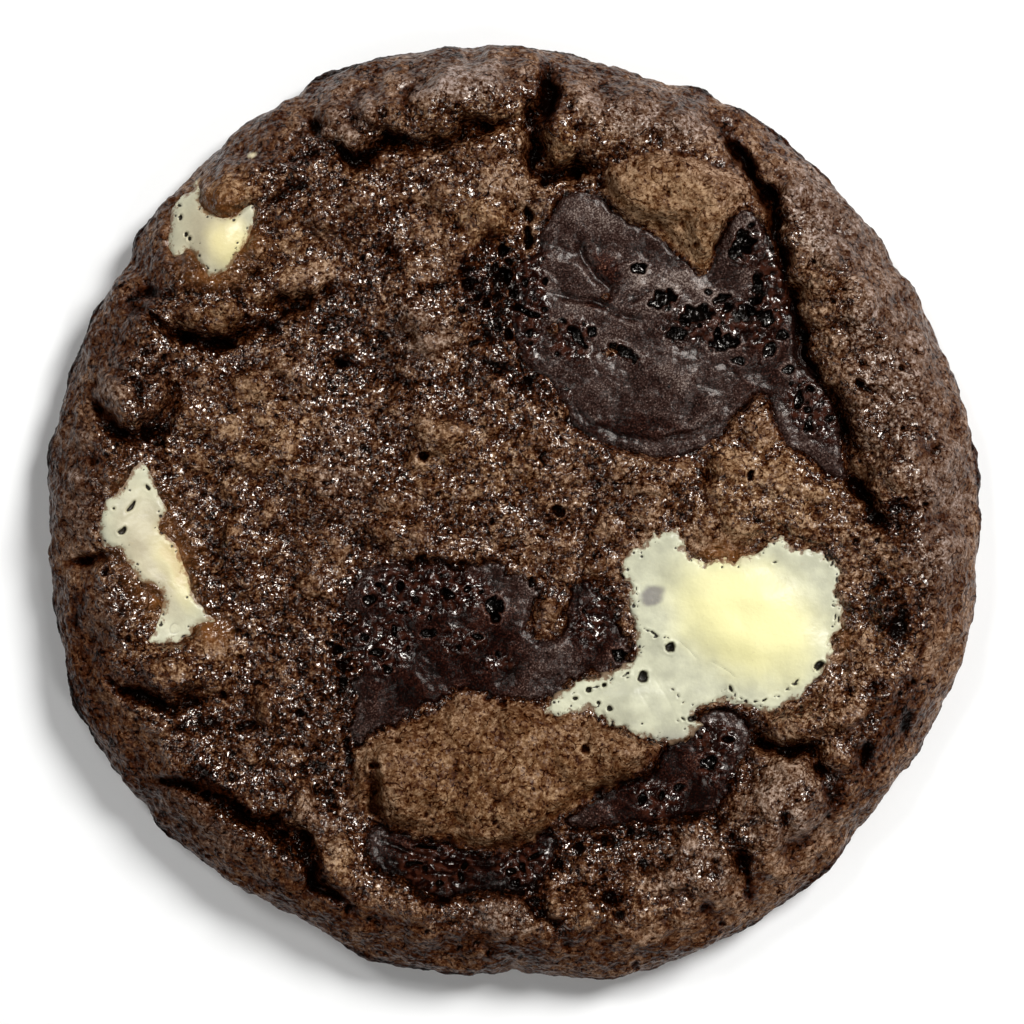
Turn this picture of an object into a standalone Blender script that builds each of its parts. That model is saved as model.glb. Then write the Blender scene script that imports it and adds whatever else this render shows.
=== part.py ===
"""Triple chocolate cookie, seen whole: a round brown dough with two melted dark chocolate
pieces, two thin streaks of dark chocolate and three white chocolate chunks set in its top.

Metres, +Z up. The origin is the middle of the flat underside. Sizes below are in
millimetres, with +X to the right and +Y to the back of the cookie.
"""
import math

import bmesh
import bpy
import numpy as np
from mathutils import Vector, noise

MM = 0.001

# Driving dimensions of the dough
MEAN_RADIUS = 45.1
MIDDLE_HEIGHT = 8.3
RIM_RISE = 1.5
RIM_AT = 0.845
RIM_WIDTH = 0.085
BELLY_HEIGHT = 3.2
SHOULDER_AT = 0.86
FOOT_AT = 0.95

# How finely the dough is worked, and the share of triangles that is kept
TURN_STEPS = 400
TOP_RINGS = 84
EDGE_RINGS = 12
FOOT_RINGS = 5
UNDERSIDE_SHARES = (0.8, 0.6, 0.4, 0.2, 0.0)
KEPT_SHARE = 0.105

# Points closer than this are one point, in metres, and edges sharper than this stay sharp, in degrees
SAME_POINT = 0.000001
SAME_TURNED_POINT = 0.00001
SHARP_ANGLE = 50

# Pieces of chocolate: their depth, the clearance round them and their mesh
CHUNK_FLOOR = 4.0
GAP = 0.32
CHUNK_CELL = 1.5
LOOP_STEPS = 2
CUT_BOTTOM = 3.0
CUT_TOP = 14.0

# Radius of the outline every 15 degrees, from +X counter-clockwise
EDGE_RADII = (
    45.1, 44.8, 44.5, 44.2, 44.6, 44.4, 45.0, 45.6, 45.6, 45.3, 44.5, 44.7,
    45.1, 45.3, 45.9, 45.4, 44.7, 45.0, 44.8, 46.2, 46.1, 45.6, 45.6, 45.8,
)

# Small notches in the edge, which fade towards the foot: angle in degrees, depth, half angle
NOTCHES = ((95, 0.6, 3.0), (63, 0.5, 2.6), (33, 0.6, 3.4), (1, 0.4, 2.4), (317, 0.5, 3.6),
           (270, 0.6, 3.0), (219, 0.5, 2.6), (147, 0.6, 3.4), (117, 0.4, 2.8))

# Uneven bulges round the side: waves in a turn, height, start in radians, lean for each mm up
SIDE_WAVES = ((7, 0.22, 0.4, 0.25), (13, 0.20, 2.1, -0.5), (23, 0.16, 4.0, 0.9), (37, 0.12, 1.2, -1.3))

# Soft unevenness of the whole top: size and height of its waves, how much rougher and how
# much finer each next layer of waves is, their number, and where the random pattern starts
WAVE_SIZE = 6.5
WAVE_HEIGHT = 0.85
WAVE_ROUGHNESS = 0.6
WAVE_FINENESS = 2.1
WAVE_LAYERS = 3
WAVE_START = 0.7

# Swells and hollows of the dough: x, y, half length, half width, turn in degrees, rise
SWELLS = (
    (14.5, 30.4, 7.2, 4.4, 8, 1.5), (19.2, 27.0, 3.2, 4.8, 10, 1.3),
    (-9.0, -25.6, 7.0, 5.8, 0, 1.5), (-1.0, -25.2, 8.5, 7.8, 0, 1.6), (8.2, -23.4, 7.2, 4.0, 12, 1.5),
    (24.0, 1.0, 9.0, 5.2, 0, 0.9), (33.0, 10.0, 3.0, 5.0, 20, 0.6),
    (-4.0, 40.0, 6.0, 4.2, 5, 0.8), (-4.0, 29.5, 4.6, 6.4, 15, 0.8), (-15.0, 28.8, 4.4, 3.4, 20, 0.7),
    (4.6, 36.0, 2.2, 3.8, 0, 0.7), (-12.6, 38.4, 3.2, 2.4, 20, 0.7), (13.0, 39.0, 6.0, 3.0, -18, 0.6),
    (-27.5, 31.2, 4.6, 3.0, 40, 0.8), (-24.6, 24.6, 3.4, 3.0, 0, 0.5), (-28.5, 18.6, 5.4, 2.6, 15, 0.8),
    (-19.0, 22.4, 2.8, 2.2, 0, 0.6), (-36.4, 10.8, 4.2, 4.0, 0, 1.0), (-25.0, 11.4, 4.0, 2.8, 0, 0.7),
    (-22.5, 6.0, 4.0, 3.2, 0, 0.5), (-26.5, -4.0, 3.4, 3.4, 0, 0.5), (-18.0, 1.0, 3.6, 3.0, 0, 0.5),
    (-7.0, 7.4, 3.8, 3.0, 0, 0.5), (-3.0, 1.6, 4.0, 3.0, 0, 0.5), (-7.0, 18.0, 4.0, 3.6, 0, 0.6),
    (-12.0, -2.0, 4.0, 2.4, 0, 0.6), (-32.0, -15.2, 5.4, 2.8, -12, 0.8), (-23.4, -18.6, 2.6, 3.2, 0, 0.5),
    (-20.0, -27.4, 3.0, 2.6, 0, 0.6), (-17.0, -34.0, 3.0, 2.6, 0, 0.6), (-9.5, -39.0, 4.0, 2.6, 0, 0.6),
    (6.0, -38.6, 4.6, 3.2, 10, 0.6), (17.0, -36.0, 4.6, 4.0, 30, 0.6), (26.2, -27.4, 4.6, 4.2, 0, 0.8),
    (28.0, -20.4, 5.0, 2.2, 20, 0.7), (36.5, -9.0, 3.0, 5.0, 0, 0.5), (37.0, 4.0, 3.4, 4.6, 0, 0.5),
    (33.0, 21.0, 4.4, 6.4, 30, 0.5), (28.0, 32.0, 4.4, 4.0, 45, 0.5),
    (-14.0, 15.0, 6.4, 8.0, 0, -0.8), (-13.5, 24.0, 3.6, 2.8, 0, -0.7), (-35.0, 21.0, 3.2, 1.8, 0, -0.7),
    (-21.0, -10.5, 5.0, 4.0, 0, -0.6), (5.0, -2.6, 5.0, 3.0, 0, -0.3), (-25.0, -24.0, 4.0, 3.0, 0, -0.5),
)
SWELL_SHOULDER = 0.75

# A cleft runs out over this share of its length, to this share of its depth
CLEFT_RUN_OUT = 0.15
CLEFT_END_DEPTH = 0.35

# Clefts in the dough: half width, depth, points along the bottom
CLEFTS = (
    (0.8, 2.0, ((-17.5, 35.0), (-15.0, 33.4), (-11.5, 35.3), (-6.5, 35.3), (-3.8, 36.6), (1.8, 38.0))),
    (0.9, 2.2, ((3.8, 43.3), (3.5, 40.0), (1.8, 36.0), (2.2, 33.0), (6.3, 32.5), (9.0, 33.2))),
    (0.9, 2.6, ((19.2, 38.3), (22.2, 33.5), (24.6, 30.0), (25.6, 24.5), (26.4, 20.5), (27.5, 15.0),
                (30.7, 10.5), (32.0, 6.0), (34.2, 0.5), (37.0, -2.0))),
    (0.7, 1.6, ((-38.0, 20.3), (-33.0, 17.6), (-28.5, 15.9), (-24.3, 17.8), (-22.8, 16.8))),
    (0.7, 1.4, ((-24.0, 19.8), (-21.5, 19.8), (-18.5, 21.0), (-16.5, 22.0))),
    (0.7, 1.5, ((-40.0, 12.0), (-39.6, 9.0), (-36.5, 7.0), (-33.2, 7.6), (-31.9, 11.5), (-33.4, 13.6))),
    (0.7, 1.3, ((-42.0, -4.8), (-38.5, -3.9))),
    (0.8, 1.5, ((-38.0, -16.8), (-34.0, -18.4), (-29.0, -18.3))),
    (0.9, 2.0, ((-34.5, -25.5), (-29.0, -27.0), (-25.0, -29.6), (-20.5, -30.9), (-18.4, -35.5),
                (-15.5, -37.8))),
    (0.8, 1.6, ((-13.6, -24.5), (-13.2, -27.5), (-12.8, -29.5))),
    (0.8, 1.6, ((22.4, -20.4), (24.5, -22.4), (28.5, -22.8), (30.0, -25.0))),
    (0.7, 1.3, ((2.2, -36.6), (2.5, -38.0), (4.5, -40.5))),
    (0.7, 1.3, ((21.5, -32.5), (22.6, -36.0))),
)

# Pieces of chocolate: colour, roughness, rise above the dough's level, own swells, outline
DARK = ((0.052, 0.035, 0.029), 0.42)
WHITE = ((0.80, 0.74, 0.50), 0.38)
CHUNKS = {
    "dark_chunk_large": (DARK, -0.5, ((13.7, 14.9, 9.7, 9.7, 0, 0.5), (23.5, 20.0, 3.6, 7.0, -10, 0.4)), (
        (5.5, 30.4), (8.6, 30.0), (11.8, 27.5), (14.6, 25.5), (17.4, 22.8), (19.3, 24.2),
        (20.6, 27.6), (22.6, 28.6), (24.6, 25.5), (26.3, 20.0), (27.2, 14.8), (30.7, 10.2),
        (31.3, 6.3), (31.6, 3.4), (28.6, 5.1), (25.6, 7.3), (24.7, 10.9), (22.2, 10.2),
        (19.4, 7.0), (16.5, 5.4), (12.6, 5.2), (8.9, 6.6), (5.3, 8.8), (4.4, 11.8),
        (1.3, 14.2), (0.1, 18.5), (0.5, 23.3), (2.6, 26.5), (4.0, 29.0))),
    "dark_chunk_middle": (DARK, -0.6, ((-9.0, -9.6, 5.4, 3.4, 0, 0.4), (4.0, -14.0, 5.0, 2.6, 15, 0.4)), (
        (-15.5, -8.0), (-14.3, -5.7), (-10.0, -4.9), (-5.0, -5.0), (-1.2, -5.0), (2.0, -6.8),
        (1.9, -10.6), (3.4, -12.6), (5.2, -10.6), (6.2, -7.2), (8.4, -7.8), (11.0, -11.8),
        (11.2, -14.2), (7.3, -15.6), (3.4, -18.2), (-1.5, -17.8), (-4.8, -16.9), (-8.5, -18.6),
        (-13.0, -21.0), (-15.2, -21.9), (-15.6, -18.0), (-15.8, -12.0))),
    "dark_streak_lower": (DARK, -0.9, (), (
        (-13.2, -30.2), (-10.5, -31.0), (-6.0, -32.0), (-2.5, -32.9), (0.8, -32.2), (3.4, -30.9),
        (3.9, -33.0), (2.0, -36.0), (-3.0, -36.1), (-6.0, -37.0), (-9.0, -35.8), (-13.0, -33.5))),
    "dark_streak_right": (DARK, -0.8, (), (
        (5.4, -29.5), (8.0, -27.7), (11.0, -26.0), (13.5, -24.8), (15.0, -22.5), (17.0, -21.8),
        (18.0, -19.6), (20.5, -18.9), (22.5, -20.5), (22.8, -22.5), (21.0, -25.0), (20.0, -27.5),
        (18.0, -29.0), (14.0, -29.5), (10.0, -30.0), (6.5, -30.5))),
    "white_chunk_right": (WHITE, -0.1, (
        (23.3, -10.3, 8.6, 6.0, -35, 0.9), (12.0, -18.0, 5.0, 2.4, 10, 0.3)), (
        (15.0, -2.0), (17.5, -4.3), (20.6, -4.7), (24.0, -3.5), (26.2, -2.4), (28.1, -3.8),
        (30.4, -4.3), (31.3, -6.5), (31.7, -9.8), (30.0, -14.4), (27.5, -17.7), (24.7, -19.0),
        (20.8, -18.2), (17.6, -19.0), (17.4, -21.0), (14.3, -21.9), (8.6, -19.8), (5.7, -19.2),
        (3.4, -19.0), (6.6, -16.3), (9.2, -15.2), (11.8, -13.6), (11.3, -9.5), (10.4, -5.8),
        (12.3, -2.9))),
    "white_chunk_upper_left": (WHITE, -0.1, ((-28.0, 25.8, 3.0, 3.4, 0, 0.4),), (
        (-30.2, 32.0), (-29.8, 29.7), (-27.6, 28.1), (-24.8, 28.9), (-24.9, 26.4), (-27.4, 22.9),
        (-28.9, 22.3), (-30.8, 25.0), (-32.6, 24.8), (-32.8, 27.5), (-32.2, 30.2))),
    "white_chunk_lower_left": (WHITE, -0.1, ((-33.5, -6.0, 2.4, 6.0, 28, 0.4),), (
        (-36.1, 4.4), (-34.4, 2.9), (-33.2, 0.2), (-33.5, -1.8), (-31.5, -4.2), (-29.6, -8.8),
        (-28.6, -10.8), (-31.2, -12.2), (-34.4, -12.4), (-33.4, -8.6), (-35.8, -6.2),
        (-37.4, -3.5), (-39.2, -3.0), (-38.8, 0.6), (-37.2, 2.0))),
}

# The white chunk lies over these, so its outline with the clearance is cut from them
UNDER_WHITE = ("dark_chunk_middle", "dark_streak_right")

DOUGH_COLOUR = (0.078, 0.046, 0.030)
DOUGH_ROUGHNESS = 0.62


def smooth(t):
    """An S-shaped ramp from 0 to 1."""
    t = np.clip(t, 0.0, 1.0)
    return t * t * (3.0 - 2.0 * t)


def through(p0, p1, p2, p3, t):
    """A point on the smooth curve that passes p1 at t = 0 and p2 at t = 1."""
    return 0.5 * (2 * p1 + (p2 - p0) * t + (2 * p0 - 5 * p1 + 4 * p2 - p3) * t ** 2
                  + (3 * p1 - p0 - 3 * p2 + p3) * t ** 3)


def outline_radius(angle):
    """Radius of the dough's outline at an angle in radians."""
    radii = np.array(EDGE_RADII)
    count = len(radii)
    place = (angle % (2 * math.pi)) / (2 * math.pi) * count
    i = np.floor(place).astype(int)
    return through(radii[(i - 1) % count], radii[i % count], radii[(i + 1) % count],
                   radii[(i + 2) % count], place - i)


def side_relief(angle, z):
    """How far the side stands out or in at an angle and a height: bulges and notches."""
    out = np.zeros_like(angle)
    for waves, height, start, lean in SIDE_WAVES:
        out = out + height * np.sin(waves * angle + start + lean * z)
    for degrees, depth, half_angle in NOTCHES:
        away = np.degrees(np.abs((angle - math.radians(degrees) + math.pi) % (2 * math.pi) - math.pi))
        out = out - depth * smooth(1.0 - away / half_angle)
    return out * smooth(z / BELLY_HEIGHT)


def swell_height(x, y, swells):
    """Puffed mounds and hollows, level in the middle and round at the shoulder, that merge."""
    mounds = np.zeros_like(x)
    hollows = np.zeros_like(x)
    for cx, cy, half_length, half_width, turn, rise in swells:
        c, s = math.cos(math.radians(turn)), math.sin(math.radians(turn))
        along = ((x - cx) * c + (y - cy) * s) / half_length
        across = ((y - cy) * c - (x - cx) * s) / half_width
        shape = rise * smooth((1.0 - np.hypot(along, across)) / SWELL_SHOULDER)
        mounds = np.maximum(mounds, shape)
        hollows = np.minimum(hollows, shape)
    return mounds + hollows


def waves(x, y):
    """Soft random unevenness, the same for each run."""
    places = zip(x.ravel() / WAVE_SIZE, y.ravel() / WAVE_SIZE)
    flat = [noise.fractal(Vector((a, b, WAVE_START)), WAVE_ROUGHNESS, WAVE_FINENESS, WAVE_LAYERS)
            for a, b in places]
    return WAVE_HEIGHT * np.array(flat).reshape(x.shape)


def path_distance(x, y, points):
    """Distance to a bent line, and how far along it the nearest point lies, from 0 to 1."""
    best = np.full_like(x, 1e9)
    share = np.zeros_like(x)
    last = len(points) - 1
    for k in range(last):
        ax, ay = points[k]
        bx, by = points[k + 1]
        length2 = (bx - ax) ** 2 + (by - ay) ** 2
        t = np.clip(((x - ax) * (bx - ax) + (y - ay) * (by - ay)) / length2, 0.0, 1.0)
        away = np.hypot(x - ax - t * (bx - ax), y - ay - t * (by - ay))
        nearer = away < best
        best = np.where(nearer, away, best)
        share = np.where(nearer, (k + t) / last, share)
    return best, share


def share_out(x, y):
    """Distance from the middle as a share of the outline's radius in that direction."""
    return np.hypot(x, y) / outline_radius(np.arctan2(y, x))


def level(x, y):
    """The dough's height without swells and clefts: a low middle inside a raised rim."""
    rim = np.exp(-(((share_out(x, y) - RIM_AT) / RIM_WIDTH) ** 2))
    return MIDDLE_HEIGHT + RIM_RISE * rim


def fall(x, y):
    """How far the top has dropped towards the belly at the round edge, from 1 to 0."""
    t = np.clip((share_out(x, y) - SHOULDER_AT) / (1 - SHOULDER_AT), 0.0, 1.0)
    return np.sqrt(1.0 - t * t)


def dough_height(x, y):
    """Height of the dough's top, as it would be without the round edge."""
    height = level(x, y) + swell_height(x, y, SWELLS) + waves(x, y)
    for half_width, depth, points in CLEFTS:
        away, share = path_distance(x, y, points)
        full = smooth(share / CLEFT_RUN_OUT) * smooth((1.0 - share) / CLEFT_RUN_OUT)
        part = CLEFT_END_DEPTH + (1.0 - CLEFT_END_DEPTH) * full
        height = height - depth * part * np.exp(-((away / half_width) ** 2))
    return height


def new_collection(name):
    made = bpy.data.collections.new(name)
    bpy.context.scene.collection.children.link(made)
    return made


def new_material(name, colour, roughness):
    made = bpy.data.materials.new(name)
    made.use_nodes = True
    shader = made.node_tree.nodes["Principled BSDF"]
    shader.inputs["Base Color"].default_value = (*colour, 1.0)
    shader.inputs["Roughness"].default_value = roughness
    shader.inputs["Metallic"].default_value = 0.0
    return made


def coordinates(mesh):
    """The mesh's corner points in millimetres, one row each."""
    flat = np.empty(len(mesh.vertices) * 3, dtype=np.float32)
    mesh.vertices.foreach_get("co", flat)
    return flat.reshape(-1, 3).astype(float) / MM


def set_coordinates(mesh, points):
    mesh.vertices.foreach_set("co", (points * MM).astype(np.float32).ravel())
    mesh.update()


def made_mesh(source, name, collection):
    """A mesh object made of a curve or of an object with modifiers, which is then removed."""
    evaluated = source.evaluated_get(bpy.context.evaluated_depsgraph_get())
    mesh = bpy.data.meshes.new_from_object(evaluated)
    mesh.name = name
    work = bmesh.new()
    work.from_mesh(mesh)
    bmesh.ops.remove_doubles(work, verts=work.verts, dist=SAME_POINT)
    bmesh.ops.recalc_face_normals(work, faces=work.faces)
    work.to_mesh(mesh)
    work.free()
    made = bpy.data.objects.new(name, mesh)
    made.matrix_world = source.matrix_world
    collection.objects.link(made)
    bpy.data.objects.remove(source)
    return made


def turned_blank(name, collection):
    """A plain turned biscuit: level top, round edge, small round foot, flat underside."""
    profile = []
    for k in range(TOP_RINGS):
        profile.append((SHOULDER_AT * k / TOP_RINGS, MIDDLE_HEIGHT))
    for k in range(EDGE_RINGS + 1):
        t = math.pi / 2 * k / EDGE_RINGS
        profile.append((SHOULDER_AT + (1 - SHOULDER_AT) * math.sin(t),
                        BELLY_HEIGHT + (MIDDLE_HEIGHT - BELLY_HEIGHT) * math.cos(t)))
    for k in range(1, FOOT_RINGS + 1):
        t = math.pi / 2 * k / FOOT_RINGS
        profile.append((FOOT_AT + (1 - FOOT_AT) * math.cos(t), BELLY_HEIGHT * (1 - math.sin(t))))
    for share in UNDERSIDE_SHARES:
        profile.append((share * FOOT_AT, 0.0))
    mesh = bpy.data.meshes.new(name)
    work = bmesh.new()
    corners = [work.verts.new((u * MEAN_RADIUS * MM, 0.0, z * MM)) for u, z in profile]
    for a, b in zip(corners, corners[1:]):
        work.edges.new((a, b))
    work.to_mesh(mesh)
    work.free()
    blank = bpy.data.objects.new(name, mesh)
    collection.objects.link(blank)
    screw = blank.modifiers.new("turn", "SCREW")
    screw.axis = "Z"
    screw.steps = TURN_STEPS
    screw.render_steps = TURN_STEPS
    screw.use_merge_vertices = True
    screw.merge_threshold = SAME_TURNED_POINT
    return blank


def make_dough(collection, cutters):
    """The blank pulled out to the uneven outline, with its top raised to the dough's relief."""
    dough = made_mesh(turned_blank("blank", collection), "dough", collection)
    points = coordinates(dough.data)
    x, y, z = points.T
    angle = np.arctan2(y, x)
    out = smooth((np.hypot(x, y) / MEAN_RADIUS - SHOULDER_AT) / (1 - SHOULDER_AT))
    spread = (outline_radius(angle) + out * side_relief(angle, z)) / MEAN_RADIUS
    x, y = x * spread, y * spread
    share = (z - BELLY_HEIGHT) / (MIDDLE_HEIGHT - BELLY_HEIGHT)
    raised = BELLY_HEIGHT + share * (dough_height(x, y) - BELLY_HEIGHT)
    z = np.where(share > 0.0, raised, z)
    set_coordinates(dough.data, np.stack([x, y, z], axis=1))
    thin = dough.modifiers.new("fewer faces", "DECIMATE")
    thin.ratio = KEPT_SHARE
    for cutter in cutters:
        subtract(dough, cutter)
    return dough


def smooth_loop(points):
    """A closed smooth curve through the points, with LOOP_STEPS steps between two of them."""
    corners = np.array(points, dtype=float)
    count = len(corners)
    loop = []
    for i in range(count):
        around = [corners[(i + k) % count] for k in (-1, 0, 1, 2)]
        for k in range(LOOP_STEPS):
            loop.append(through(*around, k / LOOP_STEPS))
    return np.array(loop)


def widened(loop, distance):
    """The loop with each point moved outwards, square to the curve."""
    tangent = np.roll(loop, -1, axis=0) - np.roll(loop, 1, axis=0)
    normal = np.stack([tangent[:, 1], -tangent[:, 0]], axis=1)
    normal /= np.linalg.norm(normal, axis=1)[:, None]
    x, y = loop.T
    turning = np.sum(x * np.roll(y, -1) - y * np.roll(x, -1))
    return loop + math.copysign(distance, turning) * normal


def prism(name, loop, bottom, top, collection):
    """A straight-walled solid over a closed outline, kept as a cutter."""
    curve = bpy.data.curves.new(name, "CURVE")
    curve.dimensions = "2D"
    curve.fill_mode = "BOTH"
    curve.extrude = (top - bottom) / 2 * MM
    spline = curve.splines.new("POLY")
    spline.points.add(len(loop) - 1)
    for point, (x, y) in zip(spline.points, loop):
        point.co = (x * MM, y * MM, 0.0, 1.0)
    spline.use_cyclic_u = True
    outline = bpy.data.objects.new(name, curve)
    outline.location.z = (top + bottom) / 2 * MM
    collection.objects.link(outline)
    bpy.context.view_layer.update()
    cutter = made_mesh(outline, name, collection)
    cutter.hide_render = True
    cutter.display_type = "WIRE"
    return cutter


def combine(target, cutter, operation):
    boolean = target.modifiers.new(f"{operation.lower()} {cutter.name}", "BOOLEAN")
    boolean.operation = operation
    boolean.solver = "EXACT"
    boolean.object = cutter


def subtract(target, cutter):
    combine(target, cutter, "DIFFERENCE")


def chunk_block(name, loop, rise, swells, collection):
    """A block round the outline with a flat floor, its top raised to the chocolate's relief."""
    low = loop.min(axis=0) - CHUNK_CELL
    high = loop.max(axis=0) + CHUNK_CELL
    size = high - low
    middle = (high + low) / 2
    cells = np.ceil(size / CHUNK_CELL).astype(int)
    work = bmesh.new()
    bmesh.ops.create_grid(work, x_segments=int(cells[0]), y_segments=int(cells[1]), size=0.5)
    for corner in work.verts:
        corner.co.x = (middle[0] + corner.co.x * size[0]) * MM
        corner.co.y = (middle[1] + corner.co.y * size[1]) * MM
    rim = [edge for edge in work.edges if edge.is_boundary]
    sides = bmesh.ops.extrude_edge_only(work, edges=rim)["geom"]
    floor_edges = [part for part in sides if isinstance(part, bmesh.types.BMEdge) and part.is_boundary]
    for corner in {corner for edge in floor_edges for corner in edge.verts}:
        corner.co.z = CHUNK_FLOOR * MM
    bmesh.ops.edgeloop_fill(work, edges=floor_edges)
    bmesh.ops.recalc_face_normals(work, faces=work.faces)
    mesh = bpy.data.meshes.new(name)
    work.to_mesh(mesh)
    work.free()
    points = coordinates(mesh)
    x, y, z = points.T
    top = level(x, y) + rise + swell_height(x, y, swells)
    top = BELLY_HEIGHT + fall(x, y) * (top - BELLY_HEIGHT)
    set_coordinates(mesh, np.stack([x, y, np.where(z > 0.0, z, top)], axis=1))
    block = bpy.data.objects.new(name, mesh)
    collection.objects.link(block)
    return block


def make_chunks(parts, cutters):
    """Every piece of chocolate, and the sockets that the dough is cut with."""
    loops = {name: smooth_loop(outline) for name, (_, _, _, outline) in CHUNKS.items()}
    sockets = {name: prism(f"socket_{name}", widened(loop, GAP), CHUNK_FLOOR - GAP, CUT_TOP, cutters)
               for name, loop in loops.items()}
    for name, (look, rise, swells, _) in CHUNKS.items():
        chunk = chunk_block(name, loops[name], rise, swells, parts)
        outline = prism(f"outline_{name}", loops[name], CUT_BOTTOM, CUT_TOP, cutters)
        combine(chunk, outline, "INTERSECT")
        if name in UNDER_WHITE:
            subtract(chunk, sockets["white_chunk_right"])
        chunk.data.materials.append(new_material(name, *look))
    return list(sockets.values())


def main():
    for existing in list(bpy.data.objects):
        bpy.data.objects.remove(existing)
    parts = new_collection("triple_chocolate_cookie")
    cutters = new_collection("cutters")
    dough = make_dough(parts, make_chunks(parts, cutters))
    dough.data.materials.append(new_material("dough", DOUGH_COLOUR, DOUGH_ROUGHNESS))
    for piece in parts.objects:
        piece.data.shade_smooth()
        piece.data.set_sharp_from_angle(angle=math.radians(SHARP_ANGLE))


main()
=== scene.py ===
"""Triple chocolate cookie: baked crust, melted chocolate and a plain studio round the frame.

The lists and the relief grid are in millimetres, the meshes in metres. +X is right,
+Y is back and +Z is up. The relief of the top is worked out on one fine grid, from the
shape of the solids and from named features, and the meshes read their heights from it.
"""
import math

import bmesh
import bpy
import numpy as np
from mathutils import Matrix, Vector, noise


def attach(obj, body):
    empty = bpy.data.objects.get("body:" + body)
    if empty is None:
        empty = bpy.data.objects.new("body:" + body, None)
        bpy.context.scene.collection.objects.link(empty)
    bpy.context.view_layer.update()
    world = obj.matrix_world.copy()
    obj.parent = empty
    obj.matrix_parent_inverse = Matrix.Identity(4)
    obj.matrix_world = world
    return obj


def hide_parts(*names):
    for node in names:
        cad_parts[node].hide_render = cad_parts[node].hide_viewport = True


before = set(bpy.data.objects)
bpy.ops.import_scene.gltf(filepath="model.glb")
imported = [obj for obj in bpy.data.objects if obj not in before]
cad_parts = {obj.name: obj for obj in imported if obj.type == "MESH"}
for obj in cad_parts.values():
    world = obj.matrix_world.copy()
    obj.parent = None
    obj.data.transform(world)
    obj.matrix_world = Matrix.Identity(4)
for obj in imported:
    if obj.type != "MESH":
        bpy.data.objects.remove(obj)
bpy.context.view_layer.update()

MM = 0.001

# The relief grid
STEP = 0.1
REACH = 47.5
AXIS = np.arange(-REACH, REACH + STEP / 2, STEP)
X, Y = np.meshgrid(AXIS, AXIS)


def ovals(groups):
    """Ovals grouped by amount, as rows: x, y, half length, half width, turn in degrees, amount."""
    return [(*place, 0)[:5] + (amount,) for amount, places in groups.items() for place in places]


# Shape of the dough, as in the solids
MIDDLE_HEIGHT = 8.3
RIM_RISE = 1.5
RIM_AT = 0.845
RIM_WIDTH = 0.085
BELLY_HEIGHT = 3.2
SHOULDER_AT = 0.86
FOOT_AT = 0.95
EDGE_RADII = (
    45.1, 44.8, 44.5, 44.2, 44.6, 44.4, 45.0, 45.6, 45.6, 45.3, 44.5, 44.7,
    45.1, 45.3, 45.9, 45.4, 44.7, 45.0, 44.8, 46.2, 46.1, 45.6, 45.6, 45.8,
)
NOTCHES = ((95, 0.6, 3.0), (63, 0.5, 2.6), (33, 0.6, 3.4), (1, 0.4, 2.4), (317, 0.5, 3.6),
           (270, 0.6, 3.0), (219, 0.5, 2.6), (147, 0.6, 3.4), (117, 0.4, 2.8))
SIDE_WAVES = ((7, 0.22, 0.4, 0.25), (13, 0.20, 2.1, -0.5), (23, 0.16, 4.0, 0.9), (37, 0.12, 1.2, -1.3))
WAVE_SIZE = 6.5
WAVE_HEIGHT = 0.85
SWELL_SHOULDER = 0.75
LUMP_HEIGHT = 0.45
DARK_DEPTH = 0.55
DRY_RISE = 0.30
PEBBLE_SIZE = 1.7
PEBBLE_HEIGHT = 0.13
GRAIN_HEIGHT = 0.06
SIDE_GRAIN_SIZE = 1.6
SIDE_GRAIN_HEIGHT = 0.22

# Random pores of the dough: how many, seed, their share where it isn't wet, size
PORES = ((900, 5, 0.25, 0.22), (60, 6, 0.2, 0.42))
SMEAR_PORES = (150, 8, 0.36)
PORES_REACH = 44

# Where the dough is higher than this, only this share of the rest is kept
TALL = 10.7
TALL_KEPT = 0.4

# Where the dough meets the chocolate: width of its soft lip, how far the chocolate drops out of sight,
# depth and width of its rounded edge, and width of the dark seam round it, partly painted shade along the
# edge
LIP_WIDTH = 0.55
HIDDEN_DROP = 1.6
EDGE_DROP = 0.22
EDGE_ROUND = 0.3
SEAM_WIDTH = 0.35
STREAK_SEAM_WIDTH = 0.9

# Size of the bubbles in the dark chocolate, and size and density of the pinholes along white edges
BUBBLE_SIZE = 0.36
PINHOLE_SIZE = 0.12
PINHOLES_PER_MM2 = 4.0

# Meshes: the top is parted at this share of the radius, with this many cells across the middle and these
# numbers of rings out to the shoulder, round it and round the foot
PARTED_AT = 0.82
MIDDLE_CELLS = 296
TOP_RINGS = 14
SHOULDER_RINGS = 45
FOOT_RINGS = 16
FOOT_INSET = 0.02
HIDDEN_FLOOR = 4.0

# Meshes of the chocolate: cell size, how far they reach past the outline and towards the cookie's edge, floor
CHUNK_CELL = 0.12
CHUNK_MARGIN = 0.8
EDGE_LIMIT = 0.972
CHUNK_FLOOR = 5.0

# Mesh of the underside
UNDERSIDE_CELLS = 150
UNDERSIDE_INSET = 0.012
UNDERSIDE_THICK = 1.4

# The tables of ovals hold places under an amount, such as a height or a strength. Each place is x, y,
# half length, half width and, if the oval is turned, its turn in degrees

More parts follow.
